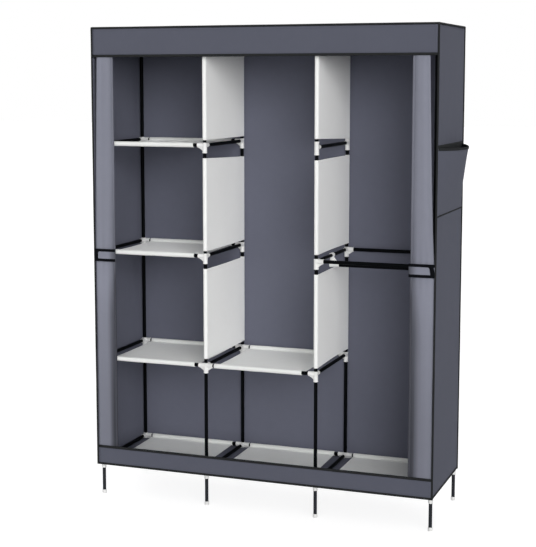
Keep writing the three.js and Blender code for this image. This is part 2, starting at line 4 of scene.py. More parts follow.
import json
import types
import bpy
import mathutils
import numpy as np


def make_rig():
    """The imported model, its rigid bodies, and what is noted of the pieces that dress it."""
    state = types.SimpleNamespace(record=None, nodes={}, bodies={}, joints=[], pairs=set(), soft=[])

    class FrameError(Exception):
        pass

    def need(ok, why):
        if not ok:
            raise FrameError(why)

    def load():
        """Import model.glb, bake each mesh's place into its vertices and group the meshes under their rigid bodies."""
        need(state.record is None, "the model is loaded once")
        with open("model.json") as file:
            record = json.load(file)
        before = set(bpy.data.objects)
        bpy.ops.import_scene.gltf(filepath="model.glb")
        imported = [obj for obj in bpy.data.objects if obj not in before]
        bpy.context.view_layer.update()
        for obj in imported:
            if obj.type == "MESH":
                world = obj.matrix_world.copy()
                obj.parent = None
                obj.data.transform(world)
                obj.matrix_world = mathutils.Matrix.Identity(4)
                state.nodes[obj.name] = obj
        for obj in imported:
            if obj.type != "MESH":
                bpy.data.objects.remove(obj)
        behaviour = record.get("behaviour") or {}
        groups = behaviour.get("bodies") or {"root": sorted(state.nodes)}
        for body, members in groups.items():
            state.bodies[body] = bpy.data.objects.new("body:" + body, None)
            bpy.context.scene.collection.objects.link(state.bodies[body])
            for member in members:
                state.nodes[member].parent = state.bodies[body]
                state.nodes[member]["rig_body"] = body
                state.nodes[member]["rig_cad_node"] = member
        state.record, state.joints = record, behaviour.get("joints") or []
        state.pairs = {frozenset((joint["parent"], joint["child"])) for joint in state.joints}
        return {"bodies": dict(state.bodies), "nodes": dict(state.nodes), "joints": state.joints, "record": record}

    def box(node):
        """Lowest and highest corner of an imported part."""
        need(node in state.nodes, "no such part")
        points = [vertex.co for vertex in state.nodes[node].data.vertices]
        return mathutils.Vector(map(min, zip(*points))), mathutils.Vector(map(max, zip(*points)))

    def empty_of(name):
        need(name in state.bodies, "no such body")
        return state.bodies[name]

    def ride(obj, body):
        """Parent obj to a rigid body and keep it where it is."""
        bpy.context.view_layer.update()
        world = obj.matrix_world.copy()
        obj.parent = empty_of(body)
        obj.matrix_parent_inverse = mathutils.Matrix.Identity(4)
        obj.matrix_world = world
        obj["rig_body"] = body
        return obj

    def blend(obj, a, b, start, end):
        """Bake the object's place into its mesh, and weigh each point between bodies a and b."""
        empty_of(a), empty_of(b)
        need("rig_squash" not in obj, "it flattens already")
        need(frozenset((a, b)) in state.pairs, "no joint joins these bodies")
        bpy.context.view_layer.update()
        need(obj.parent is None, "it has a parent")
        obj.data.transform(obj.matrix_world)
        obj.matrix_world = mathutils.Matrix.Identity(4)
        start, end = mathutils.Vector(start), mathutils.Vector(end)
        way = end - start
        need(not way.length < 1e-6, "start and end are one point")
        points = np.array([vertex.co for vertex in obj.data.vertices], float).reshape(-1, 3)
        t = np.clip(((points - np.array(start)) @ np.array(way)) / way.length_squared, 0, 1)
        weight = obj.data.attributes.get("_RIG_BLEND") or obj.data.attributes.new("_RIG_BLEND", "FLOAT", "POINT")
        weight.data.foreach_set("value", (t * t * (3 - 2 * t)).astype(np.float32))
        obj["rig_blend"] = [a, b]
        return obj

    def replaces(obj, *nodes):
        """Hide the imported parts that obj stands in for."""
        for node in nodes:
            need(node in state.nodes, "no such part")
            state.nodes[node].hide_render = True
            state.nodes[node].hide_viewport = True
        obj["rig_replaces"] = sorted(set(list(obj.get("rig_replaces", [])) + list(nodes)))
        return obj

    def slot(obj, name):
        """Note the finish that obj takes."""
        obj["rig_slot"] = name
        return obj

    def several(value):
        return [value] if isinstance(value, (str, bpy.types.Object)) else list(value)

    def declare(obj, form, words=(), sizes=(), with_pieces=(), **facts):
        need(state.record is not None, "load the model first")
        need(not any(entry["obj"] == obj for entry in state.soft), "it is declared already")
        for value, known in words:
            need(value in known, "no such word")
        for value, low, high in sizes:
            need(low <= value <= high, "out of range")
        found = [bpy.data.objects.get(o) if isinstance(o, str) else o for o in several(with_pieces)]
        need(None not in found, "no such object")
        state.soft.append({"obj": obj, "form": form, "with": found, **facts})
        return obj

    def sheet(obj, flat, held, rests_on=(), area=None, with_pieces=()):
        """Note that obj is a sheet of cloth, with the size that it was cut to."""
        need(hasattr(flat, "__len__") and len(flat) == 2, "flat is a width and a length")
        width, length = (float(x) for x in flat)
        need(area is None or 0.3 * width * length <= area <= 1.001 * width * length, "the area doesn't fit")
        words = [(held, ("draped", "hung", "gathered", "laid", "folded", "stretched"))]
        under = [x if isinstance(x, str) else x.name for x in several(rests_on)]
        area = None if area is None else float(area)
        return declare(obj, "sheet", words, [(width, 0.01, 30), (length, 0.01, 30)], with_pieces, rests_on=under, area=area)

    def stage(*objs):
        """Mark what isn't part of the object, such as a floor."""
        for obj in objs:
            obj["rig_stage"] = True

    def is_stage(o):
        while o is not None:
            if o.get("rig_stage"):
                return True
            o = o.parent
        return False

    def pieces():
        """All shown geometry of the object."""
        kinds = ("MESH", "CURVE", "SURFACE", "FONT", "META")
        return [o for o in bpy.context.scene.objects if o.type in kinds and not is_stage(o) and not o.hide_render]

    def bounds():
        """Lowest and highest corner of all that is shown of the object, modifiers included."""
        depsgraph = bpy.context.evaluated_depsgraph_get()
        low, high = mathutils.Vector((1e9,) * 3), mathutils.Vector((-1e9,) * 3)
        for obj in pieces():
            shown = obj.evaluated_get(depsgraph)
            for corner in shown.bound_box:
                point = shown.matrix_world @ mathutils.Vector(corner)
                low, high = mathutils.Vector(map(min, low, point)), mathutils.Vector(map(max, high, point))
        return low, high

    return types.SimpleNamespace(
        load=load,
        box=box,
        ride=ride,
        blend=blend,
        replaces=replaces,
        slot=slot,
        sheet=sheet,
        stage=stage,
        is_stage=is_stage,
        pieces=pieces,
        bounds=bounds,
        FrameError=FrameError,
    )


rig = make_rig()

bl_info = {
    "name": "Portable Fabric Wardrobe",
    "version": (1, 0, 0),
    "blender": (4, 5, 0),
    "location": "View3D > Sidebar > Wardrobe",
    "description": "Dresses the wardrobe's packed frame with its tubes, connectors and sewn cloths",
    "category": "Add Mesh",
}

import json
import math

import bmesh
import bpy
import numpy as np
from mathutils import Vector

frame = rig.load()
cad_box = [list(corner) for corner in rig.bounds()]


def centre(node):
    """The middle of a CAD node's box."""
    low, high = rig.box(node)
    return np.array((low + high) / 2)


# A connector's outer and bore radius, and the outer radius at the end of its tapered arm
SLEEVE, SOCKET, ARM_TIP = 0.0085, 0.0068, 0.0077
# How far its sleeve goes above its arms, below them, below them on a leg, and both ways where it
# has no side arms
SLEEVE_TOP, DROP, LEG_DROP, PLAIN_RISE, PLAIN_DROP = 0.0095, 0.029, 0.034, 0.020, 0.028
# How far from the post's axis an arm ends, its web's foot lies, and the tube in it starts
REACH, WEB_DROP, TUBE_START = 0.028, 0.021, 0.011

# Places read from the frame, in metres
COLUMNS = [centre(f"post_front_{i}")[0] for i in range(1, 5)]
FRONT, BACK = centre("post_front_1")[1], centre("post_back_1")[1]
LEVELS = {k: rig.box(f"rung_{k}1")[1].z - SLEEVE_TOP for k in "abcd"}
TOP = centre("top_tube_1")[2]
COVER_LOW, COVER_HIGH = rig.box("cover_left")[0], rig.box("cover_right")[1]
HALF_WIDTH, HALF_DEPTH = COVER_HIGH.x, COVER_HIGH.y
HEM, ROOF = COVER_LOW.z, COVER_HIGH.z
HEADER_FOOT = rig.box("cover_header")[0].z
BAND_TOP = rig.box("cover_base_band")[1].z
TIE = centre("tie_strap_left")[2]
ROD_RADIUS = 0.003
ROD_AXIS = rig.box("curtain_rod")[0].y + ROD_RADIUS

RIGHT, BACKWARD, LEFT, FORWARD, UP = (1, 0, 0), (0, 1, 0), (-1, 0, 0), (0, -1, 0), (0, 0, 1)
ROWS = {"front": (FRONT, BACKWARD), "back": (BACK, FORWARD)}
SIDES = {"left": -1, "right": 1}

# The side arms of each level's connectors, from the left post on
RUNGS = {
    "a": [[RIGHT], [LEFT], []],
    "b": [[RIGHT], [LEFT], [RIGHT], [LEFT]],
    "c": [[RIGHT], [LEFT, RIGHT], [LEFT]],
    "d": [[RIGHT], [LEFT, RIGHT], [LEFT, RIGHT], [LEFT]],
}
# The bays that have a shelf at each level
SHELVES = {"a": [0], "b": [0], "c": [0, 1], "d": [0, 1, 2]}
# How far a divider's lower edge stands above its solid's, and how far its lower and its upper
# edge fall towards the back
RAISED = {(2, "lower"): 0.007, (3, "middle"): 0.005, (3, "lower"): 0.003}
SLANTED = {(2, "middle"): (0.0, 0.0125), (3, "upper"): (0.0135, 0.0)}

# Thickness of a shelf's or divider's cloth and of a tape, and how far in a sleeve is sewn
THIN, TAPE_WALL, SLEEVE_SEAM = 0.0009, 0.0008, 0.0655


# The user's sizes and colours


def length_property(name, description, default):
    """A length that the user can change, in metres."""
    return bpy.props.FloatProperty(name=name, description=description, default=default, unit="LENGTH")


def colour_property(name, description, default):
    """A colour that the user can change, as a screen shows it."""
    return bpy.props.FloatVectorProperty(
        name=name, description=description, default=default, subtype="COLOR_GAMMA"
    )


class WardrobeSizes(bpy.types.PropertyGroup):
    tube_radius: length_property("Tube radius", "Outer radius of the steel tubes", 0.0065)
    tube_wall: length_property("Tube wall", "Wall of the steel tubes", 0.0007)
    cloth: length_property("Cloth", "Thickness of the cover's cloth", 0.0012)
    binding: length_property("Binding", "Width of the binding on each side of an edge", 0.007)
    piping: length_property("Piping", "Radius of the binding rolled over the cover's seams", 0.0034)
    shelf_sag: length_property("Shelf sag", "How far a shelf hangs between its tubes", 0.0045)
    cover_ease: length_property("Cover ease", "How far the cover's cloth wanders off flat", 0.0016)
    pocket_bulge: length_property("Pocket bulge", "How far a pocket's rim stands off the side", 0.044)
    curtain_layers: bpy.props.IntProperty(
        name="Curtain layers", description="Layers of cloth in a gathered curtain, an odd number", default=9
    )


class WardrobeColours(bpy.types.PropertyGroup):
    cover: colour_property("Cover", "Slate grey of the cover", (0.353, 0.361, 0.408))
    # Painted light: the cover's inner faces take this lighter grey, against the shade inside the cover
    lining: colour_property("Lining", "Grey of the cover's inner face", (0.41, 0.418, 0.472))
    curtain: colour_property("Curtain", "Lighter grey of the curtains", (0.525, 0.533, 0.583))
    binding: colour_property("Binding", "Near-black of the binding", (0.165, 0.17, 0.175))
    strap_binding: colour_property("Strap Binding", "Black of the straps' tape", (0.05, 0.055, 0.07))
    shelf: colour_property("Shelf", "Pale grey of the shelves", (0.955, 0.96, 0.95))
    divider: colour_property("Divider", "Near-white of the dividers", (0.98, 0.98, 0.975))
    tube: colour_property("Tube", "Black paint of the tubes", (0.015, 0.021, 0.029))
    # Painted light: the legs below the cover take this lighter slate, for the light that falls on them
    leg: colour_property("Leg", "Slate black of the legs below the cover", (0.175, 0.182, 0.2))
    plastic: colour_property("Plastic", "White of the moulded parts", (0.93, 0.93, 0.925))


def sizes():
    return bpy.context.scene.wardrobe_sizes


def colours():
    return bpy.context.scene.wardrobe_colours


# Materials


def linear(colour):
    """A screen colour as a linear one: the share above 0.04 is raised to the power 2.4 after an
    offset of 0.055, and the rest is divided by 12.92."""
    c = np.array(colour[:3], float)
    return np.where(c > 0.04045, ((c + 0.055) / 1.055) ** 2.4, c / 12.92)


def maths(operation, swapped=False):
    """A method of Link that adds the Math node of an operation, with the values swapped for
    one that stands after its operand."""

    def method(self, *others):
        values = (*others, self) if swapped else (self, *others)
        return self.nodes.node("ShaderNodeMath", dict(enumerate(values)), operation=operation)

    return method


class Link:
    """An output socket. Sums, products and differences of it add their Math nodes."""

    def __init__(self, nodes, socket):
        self.nodes, self.socket = nodes, socket

    __add__ = __radd__ = maths("ADD")
    __mul__ = __rmul__ = maths("MULTIPLY")
    __sub__ = maths("SUBTRACT")
    __rsub__ = maths("SUBTRACT", swapped=True)
    __truediv__ = maths("DIVIDE")
    __lt__ = maths("LESS_THAN")
    sine = maths("SINE")
    fraction = maths("FRACT")
    size = maths("ABSOLUTE")
    least = maths("MINIMUM")
    most = maths("MAXIMUM")

    def clamped(self):
        return self.nodes.node("ShaderNodeClamp", {"Value": self})


class Nodes:
    """A node tree."""

    def __init__(self, tree):
        self.tree = tree

    def node(self, kind, values=(), out=0, **settings):
        """Adds a node with its settings and what its inputs get, and gives one of its outputs."""
        made = self.tree.nodes.new(kind)
        for key, value in settings.items():
            setattr(made, key, value)
        for key, value in dict(values).items():
            if isinstance(value, Link):
                self.tree.links.new(value.socket, made.inputs[key])
            else:
                made.inputs[key].default_value = value
        return Link(self, made.outputs[out])


class Finish(Nodes):
    """A material: its shader, with the constants given for its sockets, and the nodes in it."""

    def __init__(self, name, **constants):
        self.material = bpy.data.materials.new(name)
        self.material.use_nodes = True
        super().__init__(self.material.node_tree)
        self.shader = self.tree.nodes["Principled BSDF"]
        for socket, value in constants.items():
            self.shader.inputs[socket.replace("_", " ")].default_value = value

    def fed(self, colour, roughness, normal):
        """The material, once its shader has its three links."""
        for socket, value in (("Base Color", colour), ("Roughness", roughness), ("Normal", normal)):
            self.tree.links.new(value.socket, self.shader.inputs[socket])
        return self.material

    def place(self):
        """The piece's own coordinates, in metres."""
        return self.node("ShaderNodeTexCoord", out="Object")

    def chart(self):
        """The two parts of the piece's map, in metres along the cloth."""
        chart = self.node("ShaderNodeUVMap", uv_map="metres")
        return [self.node("ShaderNodeSeparateXYZ", {0: chart}, k) for k in (0, 1)]

    def noise(self, where, scale, detail, rough=0.55):
        values = {"Vector": where, "Scale": scale, "Detail": detail, "Roughness": rough}
        return self.node("ShaderNodeTexNoise", values)

    def stretched(self, where, factors):
        return self.node("ShaderNodeMapping", {"Vector": where, "Scale": factors})

    def dimples(self, u, v):
        """A slanted grid: the sine of the map's two parts together times that of their difference."""
        turn = 2 * math.pi / 0.0021
        return ((u + v) * turn).sine() * ((u - v) * turn).sine()

    def shaded(self, colour, factor):
        """A screen colour times a factor that varies over the surface."""
        values = {0: tuple(linear(colour)), "Scale": factor}
        return self.node("ShaderNodeVectorMath", values, operation="SCALE")

    def mixed(self, mask, one, other):
        """One colour where the mask is 0 and the other where it is 1."""
        return self.node("ShaderNodeMix", {0: mask, 6: one, 7: other}, 2, data_type="RGBA")

    def bump(self, height, distance, strength, below=None):
        values = {"Height": height, "Distance": distance, "Strength": strength}
        if below is not None:
            values["Normal"] = below
        return self.node("ShaderNodeBump", values)


def stitches(along, across, rows):
    """Marks of sewing thread: dashes along the cloth, in rows at given distances across it."""
    pitch, half, dash = 0.0042, 0.00042, 0.68
    mask = (across - rows[0]).size() < half
    for row in rows[1:]:
        mask = mask.most((across - row).size() < half)
    return mask * ((along / pitch).fraction() < dash)


def cloth_finish(name, colour, puckers, edges=None, lining=None, deep=False, folds=False):
    """Non-woven cloth: bonded dimples in a slanted grid, loose fibres, soft mottling and, where
    the cut's width and height are given, a row of stitches inside its binding. The lining is the
    outward direction and the colour of the other face. A deep, gathered cloth is darker by its
    depth attribute. With folds, what is deeper than 0.2 shows only where the cloth turns
    sideways, so a drawn curtain loses it."""
    f = Finish(name, Roughness=0.9, Specular_IOR_Level=0.08, Sheen_Weight=0.015, Sheen_Roughness=0.6)
    where = f.place()
    u, v = f.chart()
    dimples = f.dimples(u, v)
    fibres = f.noise(f.stretched(where, (1, 1, 0.6)), 900, 2.0)
    mottle = f.noise(where, 34, 4.0)
    broad = f.noise(where, 3.2, 2.0)
    tone = 0.9 + mottle * 0.07 + broad * 0.07 + fibres * 0.06 + dimples * 0.012
    # Painted shade of the folds, read from each point's attribute
    if deep:
        depth = f.node("ShaderNodeAttribute", out="Fac", attribute_name="depth")
        # Painted shade past 0.2 shows only where the cloth turns sideways
        if folds:
            normal = f.node("ShaderNodeNewGeometry", out="Normal")
            aside = f.node("ShaderNodeSeparateXYZ", {0: normal}).size()
            depth = depth.least(0.2) + (depth - 0.2).most(0.0) * ((aside - 0.05) / 0.15).clamped()
        tone = tone * (1.0 - depth)
    base = f.shaded(colour, tone)
    # Painted light: faces turned inward take the lighter colour
    if lining:
        outward, lit_inner_colour = lining
        facing = f.node("ShaderNodeNewGeometry", out="True Normal")
        ahead = f.node("ShaderNodeVectorMath", {0: facing, 1: outward}, "Value", operation="DOT_PRODUCT")
        base = f.mixed(ahead < 0.0, base, f.shaded(lit_inner_colour, tone))
    fine = dimples * 0.35 + fibres * 0.65
    if edges:
        width, height = edges
        seam = 0.0105
        inside = u.least(width - u).least(v.least(height - v))
        thread = stitches(u + v, inside, (seam,))
        base = f.mixed(thread * 0.75, base, f.shaded(colour, 0.62))
        fine = fine + (inside - seam).size().least(0.002) * 220.0
    soft = f.bump(f.noise(f.stretched(where, (1, 1, 0.45)), 7.5, 2.0), puckers * 6, 0.35)
    return f.fed(base, 0.82 + fibres * 0.12, f.bump(fine, 0.00022, 0.75, soft))


def panel_finish(name, colour, hem, long, tone, hem_seam, hem_step, thread, stretch, sheen):
    """Pale cloth of a shelf or divider, with stitches and a groove where its sleeves are sewn
    and stitches along its turned hems. hem is the cut's size between its hems, and hem_step how
    strongly a hem's edge shows. thread gives the stitches' strength and shade, and sheen its
    weight and roughness."""
    gloss, spread = sheen
    f = Finish(name, Roughness=0.85, Specular_IOR_Level=0.12, Sheen_Weight=gloss, Sheen_Roughness=spread)
    where = f.place()
    u, v = f.chart()
    dimples = f.dimples(u, v)
    fibres = f.noise(where, 900, 2.0)
    mottle = f.noise(where, 30, 4.0)
    broad = f.noise(where, 4.0, 2.0)
    tone = tone + mottle * 0.05 + broad * 0.05 + fibres * 0.04 + dimples * 0.01
    far_seam, inside = long - SLEEVE_SEAM, v.least(hem - v)
    sewn = stitches(v, u, (SLEEVE_SEAM, far_seam)).most(stitches(u, inside, (hem_seam,)))
    base = f.mixed(sewn * thread[0], f.shaded(colour, tone), f.shaded(colour, thread[1]))
    groove = (u - SLEEVE_SEAM).size().least((u - far_seam).size()).least(0.002)
    fine = dimples * 0.35 + fibres * 0.65 + groove * 240.0
    if hem_step:
        fine = fine + (inside - hem_seam - 0.0005).size().least(0.002) * hem_step
    soft = f.bump(f.noise(f.stretched(where, stretch), 9.0, 2.0), 0.004, 0.3)
    return f.fed(base, 0.8 + fibres * 0.12, f.bump(fine, 0.0002, 0.7, soft))


# What differs between a shelf's pale grey cloth and a divider's near-white one
SHELF_LOOKS = {
    "tone": 0.925, "hem_seam": 0.009, "hem_step": 0, "thread": (0.5, 0.7),
    "stretch": (1.6, 0.5, 1), "sheen": (0.75, 0.4),
}
DIVIDER_LOOKS = {
    "tone": 0.93, "hem_seam": 0.01, "hem_step": 200.0, "thread": (0.45, 0.72),
    "stretch": (1, 0.8, 0.5), "sheen": (1.0, 0.5),
}


def binding_finish(name, colour, width):
    """Woven binding tape: ribs across it, a worn middle and a row of stitches by each edge."""
    f = Finish(name, Roughness=0.85, Specular_IOR_Level=0.04)
    u, v = f.chart()
    ribs = (u * (2 * math.pi / 0.0011)).sine()
    weft = (v * (2 * math.pi / 0.0009)).sine()
    wear = f.noise(f.place(), 60, 4.0)
    base = f.shaded(colour, 0.86 + wear * 0.22 + ribs * weft * 0.05)
    seam = 0.0014
    thread = stitches(u, v, (seam, width - seam))
    base = f.mixed(thread * 0.5, base, f.shaded(colour, 1.9))
    height = ribs * weft * 0.5 + thread * 0.9
    return f.fed(base, 0.72 + wear * 0.16, f.bump(height, 0.00025, 0.7))


def tube_finish(name, colour, lit_leg_colour):
    """Black paint on thin steel: a fine orange-peel skin, faint rubs and a dull weld line. Below
    the cover's hem the paint turns slate, over 12 mm."""
    f = Finish(name, Specular_IOR_Level=0.03)
    where = f.place()
    peel = f.noise(where, 420, 2.0)
    cloud = f.noise(where, 18, 3.0)
    scuffs = (f.noise(f.stretched(where, (1, 1, 0.12)), 260, 5.0, 0.7) - 0.63) * 6.0
    rubbed = scuffs.clamped() * 0.35
    weld = (f.chart()[1] - 0.006).size() < 0.0006
    # Painted light: below the cover's hem the black turns a lighter slate
    below = ((HEM - f.node("ShaderNodeSeparateXYZ", {0: where}, 2)) / 0.012).clamped()
    tone = 0.85 + cloud * 0.3
    paint = f.mixed(below, f.shaded(colour, tone), f.shaded(lit_leg_colour, tone))
    base = f.mixed(rubbed, paint, (0.02, 0.021, 0.023, 1.0))
    roughness = 0.36 + cloud * 0.12 + rubbed * 0.3 + weld * 0.12
    return f.fed(base, roughness, f.bump(peel * 0.5 + weld * 0.8, 0.00012, 0.5))


def plastic_finish(name, colour):
    """White moulded plastic: a fine grain, soft flow marks and slightly shinier rubbed spots."""
    f = Finish(name, Specular_IOR_Level=0.45)
    where = f.place()
    grain = f.noise(where, 1500, 2.0)
    flow = f.noise(f.stretched(where, (1, 1, 0.4)), 55, 3.0)
    base = f.shaded(colour, 0.955 + flow * 0.06 + grain * 0.02)
    return f.fed(base, 0.34 + flow * 0.16, f.bump(grain, 0.00008, 0.6, f.bump(flow, 0.0004, 0.3)))


materials = {}


def finish_for(name, make, *args, **more):
    """The material of that name, made at its first use."""
    if name not in materials:
        materials[name] = make(name, *args, **more)
    return materials[name]


def tube_black():
    return finish_for("tube_black_paint", tube_finish, colours().tube, colours().leg)


def white_plastic():
    return finish_for("moulded_white_plastic", plastic_finish, colours().plastic)


def tape(width, shade="cover"):
    colour = colours().binding if shade == "cover" else colours().strap_binding
    return finish_for(f"{shade}_tape_{round(width * 10000)}", binding_finish, colour, width)


def cover_cloth(name, edges, outward):
    # The inner faces' lighter colour is painted light
    lining = (outward, colours().lining)
    return finish_for(f"cover_cloth_{name}", cloth_finish, colours().cover, 0.0011, edges, lining)


def curtain_cloth(name, puckers, folds=False):
    return finish_for(name, cloth_finish, colours().curtain, puckers, deep=True, folds=folds)


# Surfaces


def lengths(points, axis):
    """Distances run along a grid's rows or columns: the running sum of the steps, each averaged
    over the other direction."""
    steps = np.linalg.norm(np.diff(points, axis=axis), axis=2).mean(axis=1 - axis)
    return np.concatenate([[0.0], np.cumsum(steps)])


def smooth(t):
    """An even rise from 0 to 1: three times the square less twice the cube, held outside 0 to 1."""
    t = np.clip(t, 0, 1)
    return t * t * (3 - 2 * t)


def ripple(a, b, seed, count=5, low=0.7, high=3.2):
    """A gentle wander: a sum of sines of a and b with fixed but uneven pitches and starts, each
    weaker as its pitch grows finer, scaled to stay within 1."""
    pick = np.random.default_rng(seed)
    total, weight = 0.0, 0.0
    for k in range(count):
        pitch = low + (high - low) * k / (count - 1)
        fa, fb = pitch * pick.uniform(0.6, 1.2), pitch * pick.uniform(0.25, 0.7)
        share = 1 / (1 + k)
        wave = np.sin(2 * np.pi * (fa * a + pick.choice([-1, 1]) * fb * b) + pick.uniform(0, 2 * np.pi))
        total, weight = total + share * wave, weight + share
    return total / weight


class Shape:
    """Grids of points gathered into one mesh."""

    def __init__(self):
        self.points, self.quads, self.charts, self.depths, self.count = [], [], [], [], 0

    def grid(self, points, depth=None):
        """Adds a grid, each cell a face. Its map gives the distance along rows and columns, and
        its depth says how deep in a fold each point lies."""
        rows, columns = points.shape[:2]
        chart = np.stack(np.meshgrid(lengths(points, 0), lengths(points, 1), indexing="ij"), -1)
        index = np.arange(rows * columns).reshape(rows, columns) + self.count
        corners = [index[:-1, :-1], index[1:, :-1], index[1:, 1:], index[:-1, 1:]]
        self.quads.append(np.stack(corners, -1).reshape(-1, 4))
        self.points.append(points.reshape(-1, 3))
        self.charts.append(chart.reshape(-1, 2))
        self.depths.append(np.zeros(rows * columns) if depth is None else depth.reshape(-1))
        self.count += rows * columns
        return self

    def turned(self, profile, foot, axis, sides=24):
        """A profile of (radius, distance) points turned about an axis: each point goes round a
        circle of its radius, across the axis at its distance from the foot."""
        profile, foot, axis = np.array(profile, float), np.array(foot, float), np.array(axis, float)
        across = np.cross(axis, (0.0, 0.0, 1.0) if abs(axis[2]) < 0.9 else (1.0, 0.0, 0.0))
        across /= np.linalg.norm(across)
        other = np.cross(axis, across)
        turn = np.linspace(0, 2 * np.pi, sides + 1)[:, None]
        ring = np.cos(turn) * across + np.sin(turn) * other
        return self.grid(foot + profile[:, 1, None, None] * axis + profile[:, 0, None, None] * ring)

    def piece(self, name, material, slot, stands_for=(), body="frame", wall=0.0, crease=35):
        """The mesh as a piece on a body. Meeting points are merged. A wall gives an open cloth
        its thickness, half on each face, and a piece without one is closed."""
        points, quads = np.concatenate(self.points), np.concatenate(self.quads)
        mesh = bpy.data.meshes.new(name)
        mesh.vertices.add(len(points))
        mesh.vertices.foreach_set("co", points.astype(np.float32).ravel())
        mesh.loops.add(quads.size)
        mesh.loops.foreach_set("vertex_index", quads.ravel())
        mesh.polygons.add(len(quads))
        mesh.polygons.foreach_set("loop_start", np.arange(0, quads.size, 4))
        mesh.update(calc_edges=True)
        layer = mesh.uv_layers.new(name="metres")
        chart = np.concatenate(self.charts)[quads.ravel()]
        layer.data.foreach_set("uv", chart.astype(np.float32).ravel())
        # Each point's painted shade goes to an attribute, by which a cloth's material darkens
        depths = mesh.attributes.new("depth", "FLOAT", "POINT")
        depths.data.foreach_set("value", np.concatenate(self.depths).astype(np.float32))
        work = bmesh.new()
        work.from_mesh(mesh)
        bmesh.ops.remove_doubles(work, verts=work.verts, dist=1e-6)
        if not wall:
            bmesh.ops.recalc_face_normals(work, faces=work.faces)
        work.to_mesh(mesh)
        work.free()
        mesh.shade_smooth()
        mesh.set_sharp_from_angle(angle=math.radians(crease))
        mesh.materials.append(material)
        piece = bpy.data.objects.new(name, mesh)
        bpy.context.scene.collection.objects.link(piece)
        if wall:
            thicken = piece.modifiers.new("thickness", "SOLIDIFY")
            thicken.thickness, thicken.offset, thicken.use_even_offset = wall, 0.0, True
        if body:
            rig.ride(piece, body)
        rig.slot(piece, slot)
        if stands_for:
            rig.replaces(piece, *stands_for)
        return piece


def add_tube(shape, start, end):
    """A steel tube between two points: the closed outline of its wall, with eased outer corners,
    turned about the line between them."""
    radius, ease = sizes().tube_radius, 0.0004
    inner = radius - sizes().tube_wall
    start, end = np.array(start, float), np.array(end, float)
    length = np.linalg.norm(end - start)
    outside = [(radius - ease, 0), (radius, ease), (radius, length - ease), (radius - ease, length)]
    profile = [*outside, (inner, length), (inner, 0), outside[0]]
    return shape.turned(profile, start, (end - start) / length)


def build_tube(name, node, start, end):
    """A steel tube as a piece that stands for a CAD node."""
    add_tube(Shape(), start, end).piece(name, tube_black(), "tube", [node])


def add_socket(shape, foot, axis, start, end, tip=SLEEVE, through=True, bead=0.0005):
    """A moulded sleeve from start to end along an axis, with a bead round each mouth. It may
    narrow to a tip, and a blind one is closed at its start and hollow for 6 mm at its end."""
    ease, hollow = 0.0008, 0.006
    bore = min(SOCKET, tip - 0.0009)
    mouth = [(-ease, 0), (bead, ease), (bead, 3 * ease), (0, 4.5 * ease)]
    far = [(tip + out, end - back) for out, back in reversed(mouth)]
    if through:
        near = [(SLEEVE + out, start + back) for out, back in mouth]
        profile = [*near, *far, (bore, end), (bore, start), near[0]]
    else:
        near = [(0, start), (SLEEVE - ease, start), (SLEEVE, start + ease)]
        profile = [*near, *far, (bore, end), (bore, end - hollow), (0, end - hollow)]
    return shape.turned(profile, foot, axis, 28)


def curve(start, pull, end):
    """Points from start to end on the parabola that a pull point draws aside."""
    t = np.linspace(0, 1, 13)[:, None]
    return (1 - t) ** 2 * np.array(start) + 2 * t * (1 - t) * np.array(pull) + t**2 * np.array(end)


def add_web(shape, foot, along, rim, core):
    """A flat web, 4.4 mm thick, that stands in the upright plane of a direction. Its rim is a
    line of (along, up) points, rounded across by a half circle, and both faces run in to a core
    point."""
    half, core, along = 0.0022, np.array(core), np.array(along, float)
    inward = core - rim
    inward /= np.linalg.norm(inward, axis=1)[:, None]
    turn = np.linspace(-np.pi / 2, np.pi / 2, 7)
    out = np.concatenate([[0.0], np.cos(turn) * half, [0.0]])
    off = np.concatenate([[-half], np.sin(turn) * half, [half]])
    flat = rim[:, None, :] + inward[:, None, :] * (half - out)[None, :, None]
    flat[:, 0], flat[:, -1] = core, core
    aside = off[:, None] * np.cross(UP, along)
    return shape.grid(np.array(foot) + flat[..., :1] * along + flat[..., 1:] * UP + aside)


def arm_web(shape, foot, along):
    """The web under a connector's arm, from the arm's end in to a place low on the sleeve."""
    pull = (REACH + (SOCKET - REACH) * 0.55, -WEB_DROP + (WEB_DROP - SOCKET) * 0.55)
    rim = curve((SLEEVE - 0.0004, -WEB_DROP), pull, (REACH - 0.001, -SLEEVE + 0.0002))
    return add_web(shape, foot, along, rim, (SOCKET, -SOCKET))


def add_connector(shape, foot, arms, inward, rise, drop, top=False):
    """A sleeve for the post, closed on top at the top level, an arm with its web for each side
    tube, and a tapered arm that holds the tube from front to back."""
    if top:
        ease, bead, lip, hollow = 0.0012, SLEEVE + 0.0005, 0.0008, 0.008 - drop
        outside = [(0, rise), (SLEEVE - ease, rise), (SLEEVE, rise - ease), (SLEEVE, -drop + 3 * ease)]
        mouth = [(bead, -drop + 3 * lip), (bead, -drop + lip), (SLEEVE - lip, -drop)]
        profile = [*outside, *mouth, (SOCKET, -drop), (SOCKET, hollow), (0, hollow)]
        shape.turned(profile, foot, UP, 28)
    else:
        add_socket(shape, foot, UP, -drop, rise)
    start = 0.002
    for arm in arms:
        add_socket(shape, foot, arm, start, REACH, through=False)
        arm_web(shape, foot, arm)
    add_socket(shape, foot, inward, start, REACH, tip=ARM_TIP, through=False, bead=0.0002)


# Tubes and connectors


